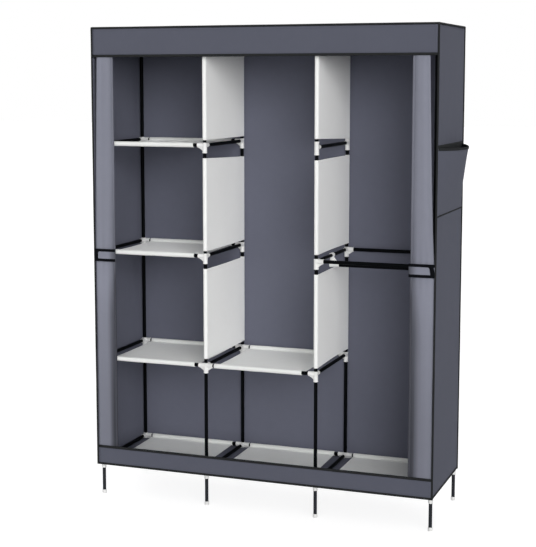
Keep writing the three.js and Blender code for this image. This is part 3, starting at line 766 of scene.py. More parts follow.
def build_posts():
    """Posts from foot to top connector, each with its foot cap."""
    radius, tall, ease, bore, bottom = 0.0085, 0.014, 0.0014, 0.00662, 0.0032
    sole = [(0, 0.0005), (radius * 0.55, 0.0005), (radius * 0.62, 0), (radius - ease, 0)]
    wall = [
        (radius - 0.0003, ease * 0.5), (radius, ease * 1.4), (radius - 0.0003, tall - 2.6 * ease),
        (radius - 0.0004, tall - ease), (radius - ease, tall),
    ]
    profile = [*sole, *wall, (bore, tall), (bore, bottom), (0, bottom)]
    for row, (y, _) in ROWS.items():
        for i, x in enumerate(COLUMNS, 1):
            node = f"post_{row}_{i}"
            build_tube(f"{node}_tube", node, (x, y, 0.0035), (x, y, TOP - SOCKET))
            cap = Shape().turned(profile, (x, y, 0), UP, 28)
            cap.piece(f"foot_cap_{row}_{i}", white_plastic(), "tube")


def build_rungs():
    """Tubes from front to back with their connectors, and the top rails with theirs. Each front
    corner's connector has a boss that takes the curtain rod's end."""
    start, end = FRONT + TUBE_START, BACK - TUBE_START
    for level, row in RUNGS.items():
        z, deep = LEVELS[level], LEG_DROP if level == "d" else DROP
        for i, arms in enumerate(row):
            x, node = COLUMNS[i], f"rung_{level}{i + 1}"
            rise, drop = (SLEEVE_TOP, deep) if arms else (PLAIN_RISE, PLAIN_DROP)
            build_tube(f"{node}_tube", node, (x, start, z), (x, end, z))
            ends = Shape()
            for y, inward in ROWS.values():
                add_connector(ends, (x, y, z), arms, inward, rise, drop)
            ends.piece(f"{node}_connectors", white_plastic(), "tube")
    radius, bore, tip, inside = 0.006, 0.0034, 0.011, 0.002
    boss = [(0, 0.004), (radius, 0.004), (radius, tip - 0.0008), (radius - 0.0005, tip)]
    boss += [(bore, tip), (bore, inside), (0, inside)]
    for row, (y, inward) in ROWS.items():
        tube, ends = Shape(), Shape()
        for a, b in zip(COLUMNS[:-1], COLUMNS[1:]):
            add_tube(tube, (a + TUBE_START, y, TOP), (b - TUBE_START, y, TOP))
        for i, x in enumerate(COLUMNS):
            arms = ([LEFT] if i > 0 else []) + ([RIGHT] if i < 3 else [])
            add_connector(ends, (x, y, TOP), arms, inward, SLEEVE_TOP, DROP, top=True)
            if row == "front" and len(arms) == 1:
                ends.turned(boss, (x, y, TOP), FORWARD)
        tube.piece(f"top_rail_{row}_tubes", tube_black(), "tube", [f"top_rail_{row}"])
        ends.piece(f"top_rail_{row}_connectors", white_plastic(), "tube")
    for i, x in enumerate(COLUMNS, 1):
        build_tube(f"top_tube_{i}_steel", f"top_tube_{i}", (x, start, TOP), (x, end, TOP))


def build_hanging_rod():
    """The hanging rod, its drop brackets and the two tubes at their level."""
    left, right = COLUMNS[2:]
    level, drop = LEVELS["b"], 0.036
    for row, (y, _) in ROWS.items():
        node = f"hanger_tube_{row}"
        build_tube(f"{node}_steel", node, (left + TUBE_START, y, level), (right - TUBE_START, y, level))
    y, z = centre("hanging_rod")[1], level - drop
    build_tube("hanging_rod_tube", "hanging_rod", (left - 0.004, y, z), (right + 0.004, y, z))
    stem = [(0, 0.006), (0.0074, 0.006), (0.0070, 0.030), (0, 0.030)]
    rim = curve((0.0062, 0.033), (0.0155, 0.0185), (REACH - 0.001, 0.0078))
    brackets = Shape()
    for x, arm in ((left, RIGHT), (right, LEFT)):
        add_socket(brackets, (x, y, level), BACKWARD, -TUBE_START, TUBE_START)
        add_socket(brackets, (x, y, z), arm, -SLEEVE, REACH, through=False)
        brackets.turned(stem, (x, y, z), UP)
        add_web(brackets, (x, y, z), arm, rim, (0.002, 0.004))
    brackets.piece("hanging_rod_brackets", white_plastic(), "tube")


def build_curtain_rod():
    """The thin rod behind the header, bent back at both ends into the corner connectors: a
    circle carried along the path, across its direction."""
    bend = 0.0085
    turn = np.linspace(0, np.pi / 2, 9)
    x, y = COLUMNS[3] - bend * (1 - np.cos(turn)), ROD_AXIS + bend * (1 - np.sin(turn))
    half = np.stack([x, y, TOP + 0 * x], -1)
    half = np.concatenate([[(COLUMNS[3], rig.box("curtain_rod")[1].y, TOP)], half])
    path = np.concatenate([half, (half * (-1, 1, 1))[::-1]])
    tangent = np.gradient(path, axis=0)
    tangent /= np.linalg.norm(tangent, axis=1)[:, None]
    side = np.cross(tangent, UP)
    turn = np.linspace(0, 2 * np.pi, 17)[None, :, None]
    ring = side[:, None] * np.cos(turn) + np.array(UP) * np.sin(turn)
    points = path[:, None] + ROD_RADIUS * ring
    first, last = (np.broadcast_to(path[k], points[:1].shape) for k in (0, -1))
    rod = Shape().grid(np.concatenate([first, points, last]))
    rod.piece("curtain_rod_wire", tube_black(), "tube", ["curtain_rod"])


# Shelves and dividers


def sleeved_path(radius, seam):
    """The line of a cloth sleeved on the front and back tubes, as (along, off) points: in from
    the seam's loose end, once round the near tube, straight across, and once round the far one.
    Also gives how far each point is into the straight part, from 0 at a seam to 1 at the
    middle, and whether it lies on a sleeve."""
    turn = np.linspace(0, 2 * np.pi, 25)
    grown = radius + THIN * turn / (2 * np.pi)
    angle = seam - turn
    loop = np.stack([grown * np.cos(angle), grown * np.sin(angle)], -1)
    tail = np.array([[loop[0, 0] + 0.012, loop[0, 1] - 0.0002]])
    sleeve = np.concatenate([tail, loop])
    first, last = sleeve + (FRONT, 0), (sleeve * (-1, 1) + (BACK, 0))[::-1]
    share = np.linspace(0, 1, 34)[1:-1, None]
    across = first[-1] + (last[0] - first[-1]) * share
    path = np.concatenate([first, across, last])
    on_sleeve = np.concatenate([np.ones(len(first)), np.zeros(len(across)), np.ones(len(last))])
    middle = np.zeros(len(path))
    middle[on_sleeve == 0] = np.sin(np.pi * share[:, 0])
    return path, middle[:, None], on_sleeve[:, None]


def puckers(y, on_sleeve, share, count, uneven, turns):
    """Small waves along a sleeve's seam that fade into the panel: a sine of the share along the
    seam, whose pitch is made uneven by a slower sine."""
    near_seam = np.exp(-np.minimum(y - FRONT, BACK - y) / 0.03) * (1 - on_sleeve)
    return 0.0006 * np.sin(2 * np.pi * (share * count + uneven * np.sin(turns * share))) * near_seam


def build_shelf(level, bay):
    """A shelf's cloth and its two tubes. The panel sags between its sleeves by half a sine, less
    towards its sides, and the sleeves puff off their tubes a little."""
    node, z = f"shelf_{level}{bay + 1}", LEVELS[level]
    left_gap, right_gap = (0.034, 0.052) if node == "shelf_c2" else (0.034, 0.043)
    left, right = COLUMNS[bay] + left_gap, COLUMNS[bay + 1] - right_gap
    path, middle, on_sleeve = sleeved_path(0.0074, math.radians(-24))
    x = np.linspace(left, right, 64)
    u, run = (x - left) / (right - left), np.linspace(0, 1, len(path))[:, None]
    seed = 11 + bay * 7 + ord(level)
    y = path[:, 0, None] + 0 * x
    sag = sizes().shelf_sag * middle * (1 - 0.55 * np.abs(2 * u - 1) ** 3)
    wander = 0.0009 * ripple(u, run, seed) * middle
    lift = path[:, 1, None] - sag + puckers(y, on_sleeve, u, 17, 0.3, 9) + wander
    out = np.stack([y - np.where(run < 0.5, FRONT, BACK), lift], -1)
    out /= np.maximum(np.linalg.norm(out, axis=-1, keepdims=True), 1e-9)
    puff = 0.0004 * (1 + ripple(u * 3, run, seed + 1)) * on_sleeve
    points = np.stack([x + 0 * y, y + out[..., 0] * puff, z + lift + out[..., 1] * puff], -1)
    wide, long = right - left, lengths(points, 0)[-1]
    stuff = finish_for("shelf_cloth", panel_finish, colours().shelf, wide, long, **SHELF_LOOKS)
    cloth = Shape().grid(points).piece(f"{node}_cloth", stuff, "shelf", [node], wall=THIN, crease=60)
    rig.sheet(cloth, flat=(wide, long), held="stretched", rests_on=[f"{node}_tubes"])
    tubes = Shape()
    for y in (FRONT, BACK):
        add_tube(tubes, (COLUMNS[bay] + TUBE_START, y, z), (COLUMNS[bay + 1] - TUBE_START, y, z))
    tubes.piece(f"{node}_tubes", tube_black(), "tube")


def build_shelves():
    """Every level's shelves."""
    for level, bays in SHELVES.items():
        for bay in bays:
            build_shelf(level, bay)


def build_divider(i, part):
    """An upright cloth sleeved on the front and back posts of an inner column. It bows aside by
    half a sine between its sleeves, most at its lower and upper edge."""
    node = f"divider_{i}_{part}"
    low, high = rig.box(node)
    side = 1 if i == 2 else -1
    path, middle, on_sleeve = sleeved_path(0.0070, math.radians(62))
    foot = low.z + RAISED.get((i, part), 0.0)
    z = np.linspace(foot, high.z, 60)
    v, run = (z - foot) / (high.z - foot), np.linspace(0, 1, len(path))[:, None]
    y = path[:, 0, None] + 0 * z
    bow = 0.0035 * middle * (0.7 + 0.5 * np.cos(2 * np.pi * v)) * side
    wander = 0.0012 * ripple(run * 2, v * 0.6, i * 10 + len(part)) * middle
    x = COLUMNS[i - 1] + path[:, 1, None] + bow + wander + puckers(y, on_sleeve, v, 15, 0.4, 7)
    low_slant, high_slant = SLANTED.get((i, part), (0.0, 0.0))
    falls = np.clip((y - FRONT) / (BACK - FRONT), 0, 1)
    points = np.stack([x, y, z - falls * (low_slant * (1 - v) ** 3 + high_slant * v**3)], -1)
    tall, long = high.z - foot, lengths(points, 0)[-1]
    name, colour = f"divider_cloth_{i}_{part}", colours().divider
    stuff = finish_for(name, panel_finish, colour, tall, long, **DIVIDER_LOOKS)
    cloth = Shape().grid(points).piece(f"{node}_cloth", stuff, "divider", [node], wall=THIN, crease=60)
    posts = [f"post_front_{i}_tube", f"post_back_{i}_tube"]
    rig.sheet(cloth, flat=(long, tall), held="stretched", rests_on=posts)


def build_dividers():
    """The three dividers of each inner column."""
    for i in (2, 3):
        for part in ("upper", "middle", "lower"):
            build_divider(i, part)


# Cover and pockets


def panel_points(corner, across, up, columns, rows, off, normal):
    """A flat panel with an offset: corner plus shares of its two sides, plus the offset along
    the normal, where the offset is a function of the two shares."""
    u, v = np.meshgrid(np.linspace(0, 1, columns), np.linspace(0, 1, rows), indexing="ij")
    base = np.array(corner) + u[..., None] * np.array(across, float) + v[..., None] * np.array(up, float)
    return base + off(u, v)[..., None] * np.array(normal, float)


def add_piping(name, start, end, outward, radius):
    """Binding rolled over a seam that runs straight between two corners: a bead turned about a
    line that stands a little outside the seam, whose radius wanders along it."""
    start, end, outward = np.array(start, float), np.array(end, float), np.array(outward, float)
    outward /= np.linalg.norm(outward)
    length = np.linalg.norm(end - start)
    along = np.linspace(0, length, 90)
    bead = radius * (1 + 0.07 * ripple(along * 3.1, along * 0, len(name) + 3))
    first, last = (0, -radius * 0.5), (0, length + radius * 0.5)
    profile = np.concatenate([[first], np.stack([bead, along], -1), [last]])
    shape = Shape().turned(profile, start + outward * 0.0007, (end - start) / length, 14)
    shape.piece(name, tape(2 * np.pi * radius), "cover", crease=60)


def folded(face, outward, reach):
    """The section of a binding folded over a cloth's edge: up one face, round the edge on a half
    circle and down the other face, with outward as the way out of the edge."""
    face, outward = np.array(face, float), np.array(outward, float)
    turn = np.linspace(-np.pi / 2, np.pi / 2, 7)[:, None]
    curl = reach * (face * np.sin(turn) + outward * np.cos(turn))
    down = outward * sizes().binding
    return np.concatenate([[-face * reach - down], curl, [face * reach - down]])


def add_tape(name, points, width, crease=60):
    """Tape sewn on the cover, from its grid of points."""
    Shape().grid(points).piece(name, tape(width), "cover", wall=TAPE_WALL, crease=crease)


def add_hem_tape(name, start, end, outward, face, half):
    """Binding folded over a straight free edge, where half is the cloth's half thickness."""
    start, end = np.array(start, float), np.array(end, float)
    t = np.linspace(0, 1, 72)[:, None, None]
    points = start + (end - start) * t + folded(face, outward, half + 0.0007)
    add_tape(name, points, 2 * sizes().binding + 0.004)


def inside_ends(share, sharpness):
    """0 at both ends of a panel's side and 1 well inside."""
    return smooth(np.minimum(share, 1 - share) * sharpness)


def held(u, v):
    """0 at a panel's edges and 1 well inside it."""
    return inside_ends(u, 9) * inside_ends(v, 12)


def between_posts(u):
    """0 at each post along the cover's width and 1 between two."""
    return np.abs(np.sin(3 * np.pi * (u * 1.018 - 0.009)))


def side_ease(u, v):
    """How far a side panel stands off flat: a gentle ripple over a slight bow."""
    return sizes().cover_ease * held(u, v) * (1.1 + 1.3 * ripple(u * 1.6, v * 2.2, 5))


def build_cover():
    """The cover's sewn panels, each a little off flat, and the binding over their edges."""
    ease, wall = sizes().cover_ease, sizes().cloth

    def back(u, v):
        return ease * held(u, v) * between_posts(u) * (0.4 + 1.4 * ripple(u * 3, v * 1.6, 8))

    def roof(u, v):
        off_rails = smooth((np.minimum(v, 1 - v) - 0.12) * 8)
        return -ease * between_posts(u) * off_rails * (1.6 + ripple(u * 3, v, 21))

    def floor(u, v):
        return -ease * held(u, v) * (1.2 + 1.2 * ripple(u * 3, v, 22))

    def band(u, v, seed, freedom):
        return ease * 0.9 * ripple(u * 4, v * 0.5, seed) * smooth(freedom) * inside_ends(u, 12)

    def header(u, v):
        return band(u, v, 31, (1 - v) * 2.2)

    def base(u, v):
        return band(u, v, 37, v * 1.6)

    # The cloths' half width and half depth, and their lower and upper edge
    w, d, z0, z1 = HALF_WIDTH - 0.001, HALF_DEPTH - 0.001, HEM + 0.0006, ROOF - 0.0008
    wide, deep, tall = (2 * w, 0, 0), (0, 2 * d, 0), (0, 0, z1 - z0)
    panels = [
        ("left", (-w, d, z0), (0, -2 * d, 0), tall, 40, 110, side_ease, LEFT),
        ("right", (w, -d, z0), deep, tall, 40, 110, side_ease, RIGHT),
        ("back", (w, d, z0), (-2 * w, 0, 0), tall, 110, 110, back, BACKWARD),
        ("header", (-w, -d, HEADER_FOOT), wide, (0, 0, z1 - HEADER_FOOT), 110, 14, header, FORWARD),
        ("base_band", (-w, -d, z0), wide, (0, 0, BAND_TOP - z0), 110, 12, base, FORWARD),
        ("top", (-w, -d, ROOF - 0.001), wide, deep, 110, 40, roof, UP),
        ("floor", (-w, d, HEM + 0.001), wide, (0, -2 * d, 0), 110, 40, floor, (0, 0, -1)),
    ]
    for name, corner, across, upward, columns, rows, off, normal in panels:
        points = panel_points(corner, across, upward, columns, rows, off, normal)
        size = (np.linalg.norm(across), np.linalg.norm(upward))
        stuff, node = cover_cloth(name, size, normal), f"cover_{name}"
        cloth = Shape().grid(points).piece(f"{node}_cloth", stuff, "cover", [node], wall=wall, crease=60)
        rails = ["top_rail_front_tubes", "top_rail_back_tubes"]
        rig.sheet(cloth, flat=size, held="stretched", rests_on=rails)

    # The seams' places, and the radius of the piping on upright and on level seams
    x, y, high = HALF_WIDTH - 0.0005, HALF_DEPTH - 0.0005, ROOF - 0.0005
    upright, level = sizes().piping, sizes().piping + 0.0004
    down = (0, 0, -1)
    for row, sign in (("front", -1), ("back", 1)):
        for hand, turn in SIDES.items():
            foot, top = (turn * x, sign * y, HEM), (turn * x, sign * y, high)
            add_piping(f"binding_{row}_{hand}", foot, top, (turn, sign, 0), upright)
        add_piping(f"binding_top_{row}", (-x, sign * y, high), (x, sign * y, high), (0, sign, 1), level)
        add_hem_tape(f"hem_{row}", (-x, sign * d, HEM), (x, sign * d, HEM), down, (0, sign, 0), wall / 2)
    for hand, turn in SIDES.items():
        add_piping(f"binding_top_{hand}", (turn * x, -y, high), (turn * x, y, high), (turn, 0, 1), level)
        add_hem_tape(f"hem_{hand}", (turn * w, -y, HEM), (turn * w, y, HEM), down, (turn, 0, 0), wall / 2)
    add_hem_tape("hem_header", (-x, -d, HEADER_FOOT), (x, -d, HEADER_FOOT), down, FORWARD, wall)
    add_hem_tape("hem_base_band", (-x, -d, BAND_TOP), (x, -d, BAND_TOP), UP, FORWARD, wall)


def build_pockets():
    """Side pockets: the rim bows out most a little behind its middle and dips there, the ends
    and foot are sewn to the side, and the cloth between runs almost straight. The rim and foot
    have tapes, and a stay tape on the side stands behind the mouth."""
    low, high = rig.box("pocket_right")
    foot, mouth = low.z, high.z
    peak, rim_reach = 0.38, 0.0014
    u, v = np.meshgrid(np.linspace(-1, 1, 72), np.linspace(0, 1, 34), indexing="ij")
    end = np.where(u > peak, 1.0, -1.0)
    bow = 1 - ((u - peak) / (end - peak)) ** 2
    for hand, turn in SIDES.items():
        node = f"pocket_{hand}"
        billow = 0.0022 * np.sin(np.pi * v) * smooth(bow * 2) * (1 + 0.7 * ripple(u, v, 40 + turn))
        x = HALF_WIDTH + 0.0012 + sizes().pocket_bulge * bow * v + billow
        y = u * high.y + 0.002 * np.sin(np.pi * v) * (1 - bow) * np.sign(u)
        z = foot + (mouth - foot) * v - 0.006 * bow * v**2
        points = np.stack([turn * x, y, z], -1)
        if turn > 0:
            points = points[::-1]
        wide, tall = lengths(points, 0)[-1], lengths(points, 1)[-1]
        stuff = cover_cloth(node, (wide, tall), (turn, 0, 0))
        piece = Shape().grid(points).piece(f"{node}_cloth", stuff, "cover", [node], wall=sizes().cloth)
        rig.sheet(piece, flat=(wide, tall), held="hung", rests_on=[f"cover_{hand}_cloth"])
        rim = points[:, -1]
        add_tape(f"{node}_rim", rim[:, None, :] + folded((turn, 0, 0.12), UP, rim_reach), 0.0155)
        # A dark stay tape behind the mouth, partly standing in for the shade above the pocket's mouth
        y, z = np.meshgrid(rim[:, 1], np.linspace(mouth - 0.024, mouth + 0.011, 5), indexing="ij")
        share_along, share_up = 0.5 + turn * y / (2 * HALF_DEPTH), (z - HEM) / (ROOF - HEM)
        x = turn * (HALF_WIDTH + 0.0005 + side_ease(share_along, share_up))
        add_tape(f"{node}_stay_tape", np.stack([x, y, z], -1), 0.035, 35)
        foot_line = points[:, 0] + (turn * 0.0012, 0, 0)
        section = [(0, 0, -0.0015), (turn * 0.0006, 0, 0.001), (0, 0, 0.0035)]
        add_tape(f"{node}_foot_tape", foot_line[:, None] + section, 0.0052)


# Curtains


def curtain_front(s, z, turn):
    """The showing layer of a curtain, from its outer edge (s is 0) to its hem (s is 1): how far
    it lies back, from 0 at its most forward to 1, and how deep in shade it is. It stands forward
    at the outer side and rolls back to the hem on a quarter ellipse, which starts sooner below
    the tie. Small creases run in to the tie. The shade grows to the hem and downwards, and more
    and from further out below the tie. The crest of the outer fold and the swelling just below
    the tie are lighter."""
    below = smooth((TIE - 0.028 - z) / 0.22)
    above = smooth((z - TIE - 0.028) / 0.3)
    start = 0.60 - 0.17 * below
    roll = np.clip((s - start) / (1 - start), 0, 0.998)
    swell = 1 - np.sqrt(1 - roll**2)
    lip = np.clip((0.05 - s) / 0.05, 0, 1) ** 2
    near_tie = np.exp(-np.abs(z - TIE) / 0.06)
    folds = ripple(s * 1.5, z * 0.28 + 0 * s, 50 + turn, 4, 0.7, 2.2)
    creases = np.sin(2 * np.pi * (s * 3.5 + 0.15 * turn)) * near_tie
    body = (1 - swell) * np.sqrt(np.sin(np.pi * np.clip(s, 0, 1)))
    back = swell + 0.25 * lip + (0.05 * folds + 0.07 * creases) * body

    # Painted fold shade: its share at the hem, how much more below the tie, and how much further out it starts there
    shade, extra, wider = (0.16, 0.24, 0.21) if turn > 0 else (0.176, 0.26, 0.13)
    to_hem = smooth((s - 0.65 + wider * below) / (0.27 + 0.74 * wider * below))
    deepest_painted_shade = shade * (1 + smooth((TIE + 0.4 - z) / 0.5)) + extra * below
    # Painted shade lower down, and along the folds and creases
    painted_low_shade = smooth((TIE - 0.2 - z) / 0.45)
    painted_fold_shade = 0.05 * (0.5 - 0.5 * folds) + 0.07 * creases * body
    # Painted highlights, on the outer fold's top and on the swelling below the tie
    painted_crest_highlight = smooth(1 - np.abs(s - 0.22) / 0.3)
    painted_swell_highlight = np.exp(-(((TIE - 0.1 - z) / 0.09) ** 2)) * smooth((0.75 - s) / 0.3)
    painted_shade_sum = deepest_painted_shade * to_hem + 0.03 * below + 0.14 * painted_low_shade + painted_fold_shade + 0.12 * lip * above
    return back, painted_shade_sum - 0.05 * painted_crest_highlight - 0.09 * painted_swell_highlight


def build_gathers(hand, turn, hem_in):
    """A curtain's gathered cloth, which runs to and fro in layers between the bundle's back and
    front. Its last layer shows. The outer side stays with the frame as the curtain is drawn."""
    body, layers = f"curtain_{hand}", sizes().curtain_layers
    low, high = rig.box(f"{body}_cloth")
    z = np.linspace(low.z, high.z, 120)
    above = np.clip((z - TIE) / (high.z - TIE), 0, 1)
    top_inset, fall = (0.029, 0.6) if turn > 0 else (0.016, 1.5)
    outer, inner = HALF_WIDTH - 0.0032 - top_inset * above**fall, hem_in + 0.0015
    front, back = low.y + 0.0004, high.y - 0.003
    across = np.linspace(0, 1, 30)[:, None] + 0 * z
    lie, depth = curtain_front(across, z, turn)
    y_front = front + (back - front) * 0.94 * lie
    # The hidden layers take a painted shade of 0.5, and the showing layer its own
    parts, first, last, count = [], 0.03, 0.9, layers - 0.25
    for k in range(layers - 1):
        inwards = k % 2 == 0
        way = np.linspace(first, last, 16)[:: 1 if inwards else -1]
        nose = np.array([last + 0.006 if inwards else first - 0.006])
        for s, share in ((way, (k + 0.5) / count), (nose, (k + 1) / count)):
            cover = np.stack([np.interp(s, across[:, 0], column) for column in y_front.T], 1)
            parts.append((s[:, None] + 0 * z, back + (cover + 0.0006 - back) * share, 0.5 + 0 * cover))
    parts.append((across, y_front, depth))
    s, y, depth = (np.concatenate([part[k] for part in parts]) for k in range(3))
    droop = 0.0025 * np.sin(np.pi * s) * ((z - low.z) / (high.z - low.z) < 0.02)
    points = np.stack([turn * (outer + (inner - outer) * s), y, z - droop], -1)
    if turn > 0:
        points, depth = points[::-1], depth[::-1]
    stuff, node = curtain_cloth("curtain_cloth", 0.0011, folds=True), f"{body}_cloth"
    shape, wall, drawn_width = Shape().grid(points, depth), 0.0007, 0.645
    cloth = shape.piece(f"{body}_gathers", stuff, "curtain", [node], body=None, wall=wall, crease=70)
    still = turn * (HALF_WIDTH - 0.004 - top_inset)
    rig.blend(cloth, "frame", body, start=(still, 0, 0), end=(turn * (hem_in + 0.004), 0, 0))
    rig.sheet(cloth, flat=(drawn_width, high.z - low.z), held="gathered", rests_on=["curtain_rod_wire"])


def squircle(t):
    """A cosine or sine of a turn made squarer: its size to the power 0.55, with its sign."""
    return np.sign(t) * np.abs(t) ** 0.55


def build_hem(hand, turn, low, high, inner):
    """A curtain's leading hem: a flat band with rounded edges, whose shade grows downwards, and
    the tunnel that slides on the rod at its top."""
    # Half the band's width and thickness, and its middle
    wide, deep, mid = 0.0039, 0.0046, low.y + 0.0062
    z = np.linspace(low.z, high.z - 0.0085, 90)
    angle = np.linspace(0, 2 * np.pi, 25)[:, None]
    x = turn * (inner + wide + wide * squircle(np.cos(angle))) + 0.0003 * ripple(z * 2.2, 0 * z, 60 + turn)
    ring = np.stack(np.broadcast_arrays(x, mid + deep * squircle(np.sin(angle)), z), -1)
    ends = [np.broadcast_to((turn * (inner + wide), mid, end), (25, 1, 3)) for end in (z[0], z[-1])]
    # Painted shade of the band, growing downwards and deepest below the tie
    shade = 0.24 + 0.2 * smooth((TIE + 0.35 - z) / 0.35) + 0.28 * smooth((TIE - z) / 0.12)
    shade = np.concatenate([shade[:1], shade, shade[-1:]]) + np.zeros((25, 1))
    shape = Shape().grid(np.concatenate([ends[0], ring, ends[1]], 1), depth=shade)
    bore, radius, start, end = 0.0034, 0.0058, 0.0002, 0.0076
    bulge = [(radius + 0.0002, start + 0.0008), (radius + 0.0002, end - 0.0008)]
    profile = [(bore, start), (radius, start), *bulge, (radius, end), (bore, end), (bore, start)]
    shape.turned(profile, (turn * inner, ROD_AXIS, TOP), (turn, 0, 0))
    stuff, body = curtain_cloth("curtain_hem_cloth", 0.0006), f"curtain_{hand}"
    shape.piece(f"{body}_leading_hem", stuff, "curtain", [f"{body}_hem"], body=body, crease=50)


def build_strap(hand, turn):
    """A tie strap: a flat band that bows over the bundle and curls in at its free end, with
    black binding along both edges and round its sewn end."""
    node, body = f"tie_strap_{hand}", f"strap_{hand}"
    low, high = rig.box(node)
    outer, inner = max(abs(low.x), abs(high.x)), min(abs(low.x), abs(high.x))
    length, tall = outer - inner, high.z - low.z

    def surface(u, v, off):
        """The band's face: u from the sewn end to the free end, v up, both in metres."""
        t = u / length
        bow = 0.0013 * np.sin(np.pi * np.clip(t, 0, 1)) + 0.0002 * np.sin(14 * t + 60 * v)
        curl = 0.0026 * smooth((t - 0.93) / 0.07)
        return np.stack([turn * (outer - u), -HALF_DEPTH - 0.0013 - bow + curl - off, low.z + v], -1)

    u, v = np.meshgrid(np.linspace(0.0005, length, 46), np.linspace(0.001, tall - 0.001, 16), indexing="ij")
    stuff = curtain_cloth("tie_strap_cloth", 0.0004)
    # Painted shade darkens the band's last part, towards its free end
    band = Shape().grid(surface(u, v, 0.0), depth=0.6 * smooth((u / length - 0.62) / 0.38))
    piece = band.piece(f"{node}_band", stuff, "curtain", [node], body=body, wall=0.0013)
    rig.sheet(piece, flat=(length, tall), held="stretched", rests_on=[f"binding_front_{hand}"])

    # The binding's inner line: along the lower edge, round two corners by the bar at the sewn
    # end, and back along the upper edge. The bar of the right strap leans.
    edge, soft, sharp = 0.0102, 0.0065, 0.002
    bar, tilt, outer_tilt = (0.0168, 0.0035, 0.0055) if turn > 0 else (0.0148, 0.0, 0.0)
    high_edge = tall - edge
    corner = np.linspace(0, np.pi / 2, 9)
    run_in = np.linspace(length, bar + soft, 24)
    window = np.concatenate([
        np.stack([run_in, np.full(24, edge)], -1),
        np.stack([bar + sharp - sharp * np.sin(corner), edge + sharp - sharp * np.cos(corner)], -1),
        np.stack([bar + soft - soft * np.cos(corner), high_edge - soft + soft * np.sin(corner)], -1),
        np.stack([run_in[::-1], np.full(24, high_edge)], -1)[1:],
    ])
    along, height = window.T.copy()
    share = (height - edge) / (high_edge - edge)
    by_bar = along < bar + soft * 0.999
    window[:, 0] = along + tilt * smooth(share) * (along < bar + soft)
    share = np.clip(share, 0, 1)
    rim = np.stack([
        np.where(by_bar, outer_tilt * smooth(share), window[:, 0]),
        np.where(by_bar, share * tall, np.where(height < tall / 2, 0.0, tall)),
    ], -1)
    t = np.linspace(0, 1, 5)[None, :, None]
    flat = window[:, None] + (rim - window)[:, None] * t
    over = 0.0012 - 0.0004 * (2 * t[..., 0] - 1) ** 2
    trim = Shape().grid(surface(flat[..., 0], flat[..., 1], over))
    # A strip closes the corner between the bar and the upper edge
    u, v = np.meshgrid(np.linspace(0.0005, bar + soft, 8), np.linspace(high_edge, tall, 5), indexing="ij")
    trim.grid(surface(u, v, 0.0013))
    trim.piece(f"{node}_binding", tape(edge, "strap"), "curtain", body=body, wall=THIN, crease=60)


def build_curtains():
    """Gathered curtains with their stiff hems, and the tie straps across them."""
    for hand, turn in SIDES.items():
        low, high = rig.box(f"curtain_{hand}_hem")
        hem_in = min(abs(low.x), abs(high.x))
        build_gathers(hand, turn, hem_in)
        build_hem(hand, turn, low, high, hem_in)
        build_strap(hand, turn)


# The stage


def two_shaders(owner, output, lighting, seen):
    """Gives a material or world two shaders, each made by its function: one that lights the
    object, and one that the camera sees, directly or in a mirror or glass."""
    owner.use_nodes = True
    tree = owner.node_tree
    tree.nodes.clear()
    nodes = Nodes(tree)
    rays = ("Is Camera Ray", "Is Glossy Ray", "Is Transmission Ray")
    camera, mirror, glass = (nodes.node("ShaderNodeLightPath", out=ray) for ray in rays)
    shaders = {0: camera.most(mirror).most(glass), 1: lighting(nodes), 2: seen(nodes)}
    mix = nodes.node("ShaderNodeMixShader", shaders)
    tree.links.new(mix.socket, tree.nodes.new(output).inputs[0])


def matt(nodes, grey=0.8):
    return nodes.node("ShaderNodeBsdfDiffuse", {"Color": (grey, grey, grey, 1)})


def bright_floor(nodes):
    """A grey surface with a glow, so that soft shadows show on near-white."""
    glow = nodes.node("ShaderNodeEmission", {"Strength": 0.80})
    return nodes.node("ShaderNodeAddShader", {0: matt(nodes, 0.5), 1: glow})


def white(nodes, strength=1.0):
    return nodes.node("ShaderNodeBackground", {"Color": (1, 1, 1, 1), "Strength": strength})


def soft_white(nodes):
    return white(nodes, 0.22)


def build_stage():
    """Camera, pale floor, plain light and a white background. The camera's place, turn, focal
    length in pixels and shift come from a fit to the photo, which is 547 pixels high."""
    scene = bpy.context.scene
    focal, photo_height, sensor = 1336.5, 547, 36
    camera = bpy.data.objects.new("camera", bpy.data.cameras.new("camera"))
    scene.collection.objects.link(camera)
    camera.location = (1.6741, -4.6414, 1.5762)
    camera.rotation_euler = (math.pi / 2 - 0.1237, 0, 0.3527)
    camera.data.sensor_width, camera.data.lens = sensor, focal * sensor / photo_height
    camera.data.shift_y = -0.05
    scene.camera = camera

    mesh = bpy.data.meshes.new("floor_plane")
    mesh.from_pydata([(-40, -40, 0), (40, -40, 0), (40, 40, 0), (-40, 40, 0)], [], [(0, 1, 2, 3)])
    ground = bpy.data.objects.new("floor_plane", mesh)
    scene.collection.objects.link(ground)
    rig.stage(ground)
    pale = bpy.data.materials.new("pale_floor")
    two_shaders(pale, "ShaderNodeOutputMaterial", matt, bright_floor)
    mesh.materials.append(pale)

    scene.world = bpy.data.worlds.new("studio")
    two_shaders(scene.world, "ShaderNodeOutputWorld", soft_white, white)
    scene.view_settings.view_transform = "Standard"

    for name, direction, share, spread in (
        ("sun_from_the_viewer", (0.335, -0.93, 0.14), 0.31, 45),
        ("sun_from_the_right", (0.58, -0.79, 0.17), 0.49, 40),
        ("sun_from_above", (0.25, -0.55, 0.8), 0.12, 60),
        ("sun_from_behind", (-0.6, 0.75, 0.3), 0.62, 60),
    ):
        data = bpy.data.lights.new(name, "SUN")
        data.energy, data.angle = share * math.pi, math.radians(spread)
        lamp = bpy.data.objects.new(name, data)
        scene.collection.objects.link(lamp)
        lamp.rotation_mode = "QUATERNION"
        lamp.rotation_quaternion = Vector(direction).to_track_quat("Z", "Y")


# The add-on


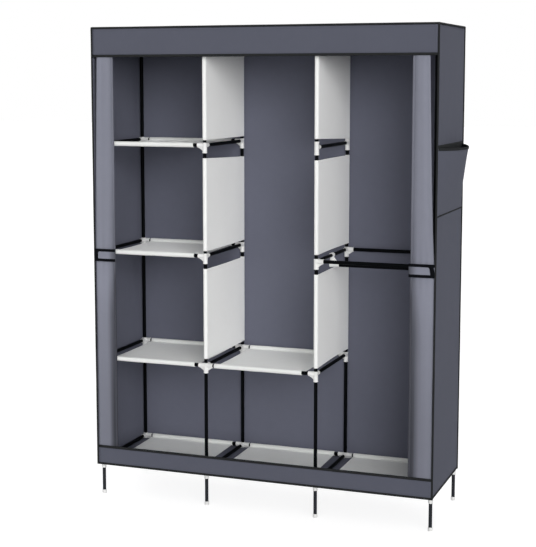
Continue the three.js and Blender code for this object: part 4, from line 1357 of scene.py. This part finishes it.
class StageOperator(bpy.types.Operator):
    """Add the camera, floor and light"""

    bl_idname = "wardrobe.stage"
    bl_label = "Stage"

    def execute(self, context):
        build_stage()
        return {"FINISHED"}


def operator(build):
    """An operator class for one group of pieces, named and described by its function."""
    name = build.__name__.removeprefix("build_")

    def execute(self, context):
        build()
        return {"FINISHED"}

    made = {
        "bl_idname": f"wardrobe.{name}",
        "bl_label": name.replace("_", " ").title(),
        "__doc__": build.__doc__,
        "execute": execute,
    }
    return type(f"WARDROBE_OT_{name}", (bpy.types.Operator,), made)


GROUPS = [
    build_posts, build_rungs, build_hanging_rod, build_shelves, build_dividers,
    build_cover, build_pockets, build_curtain_rod, build_curtains,
]
OPERATORS = [StageOperator, *[operator(build) for build in GROUPS]]


class WARDROBE_PT_sidebar(bpy.types.Panel):
    """Lists the wardrobe's groups of pieces"""

    bl_label = "Wardrobe"
    bl_idname = "WARDROBE_PT_sidebar"
    bl_space_type = "VIEW_3D"
    bl_region_type = "UI"
    bl_category = "Wardrobe"

    def draw(self, context):
        for group in (context.scene.wardrobe_sizes, context.scene.wardrobe_colours):
            for key in group.bl_rna.properties.keys():
                if key not in {"rna_type", "name"}:
                    self.layout.prop(group, key)
        for made in OPERATORS:
            self.layout.operator(made.bl_idname)


CLASSES = [WardrobeSizes, WardrobeColours, *OPERATORS, WARDROBE_PT_sidebar]


def register():
    for made in CLASSES:
        bpy.utils.register_class(made)
    bpy.types.Scene.wardrobe_sizes = bpy.props.PointerProperty(type=WardrobeSizes)
    bpy.types.Scene.wardrobe_colours = bpy.props.PointerProperty(type=WardrobeColours)


def unregister():
    del bpy.types.Scene.wardrobe_colours
    del bpy.types.Scene.wardrobe_sizes
    for made in reversed(CLASSES):
        bpy.utils.unregister_class(made)


def main():
    """Registers the classes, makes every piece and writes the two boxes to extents.json."""
    register()
    for made in OPERATORS:
        getattr(bpy.ops.wardrobe, made.bl_idname.removeprefix("wardrobe."))()
    bpy.context.view_layer.update()
    with open("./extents.json", "w") as file:
        json.dump({"cad": cad_box, "visual": [list(corner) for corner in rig.bounds()]}, file)


if __name__ == "__main__":
    main()
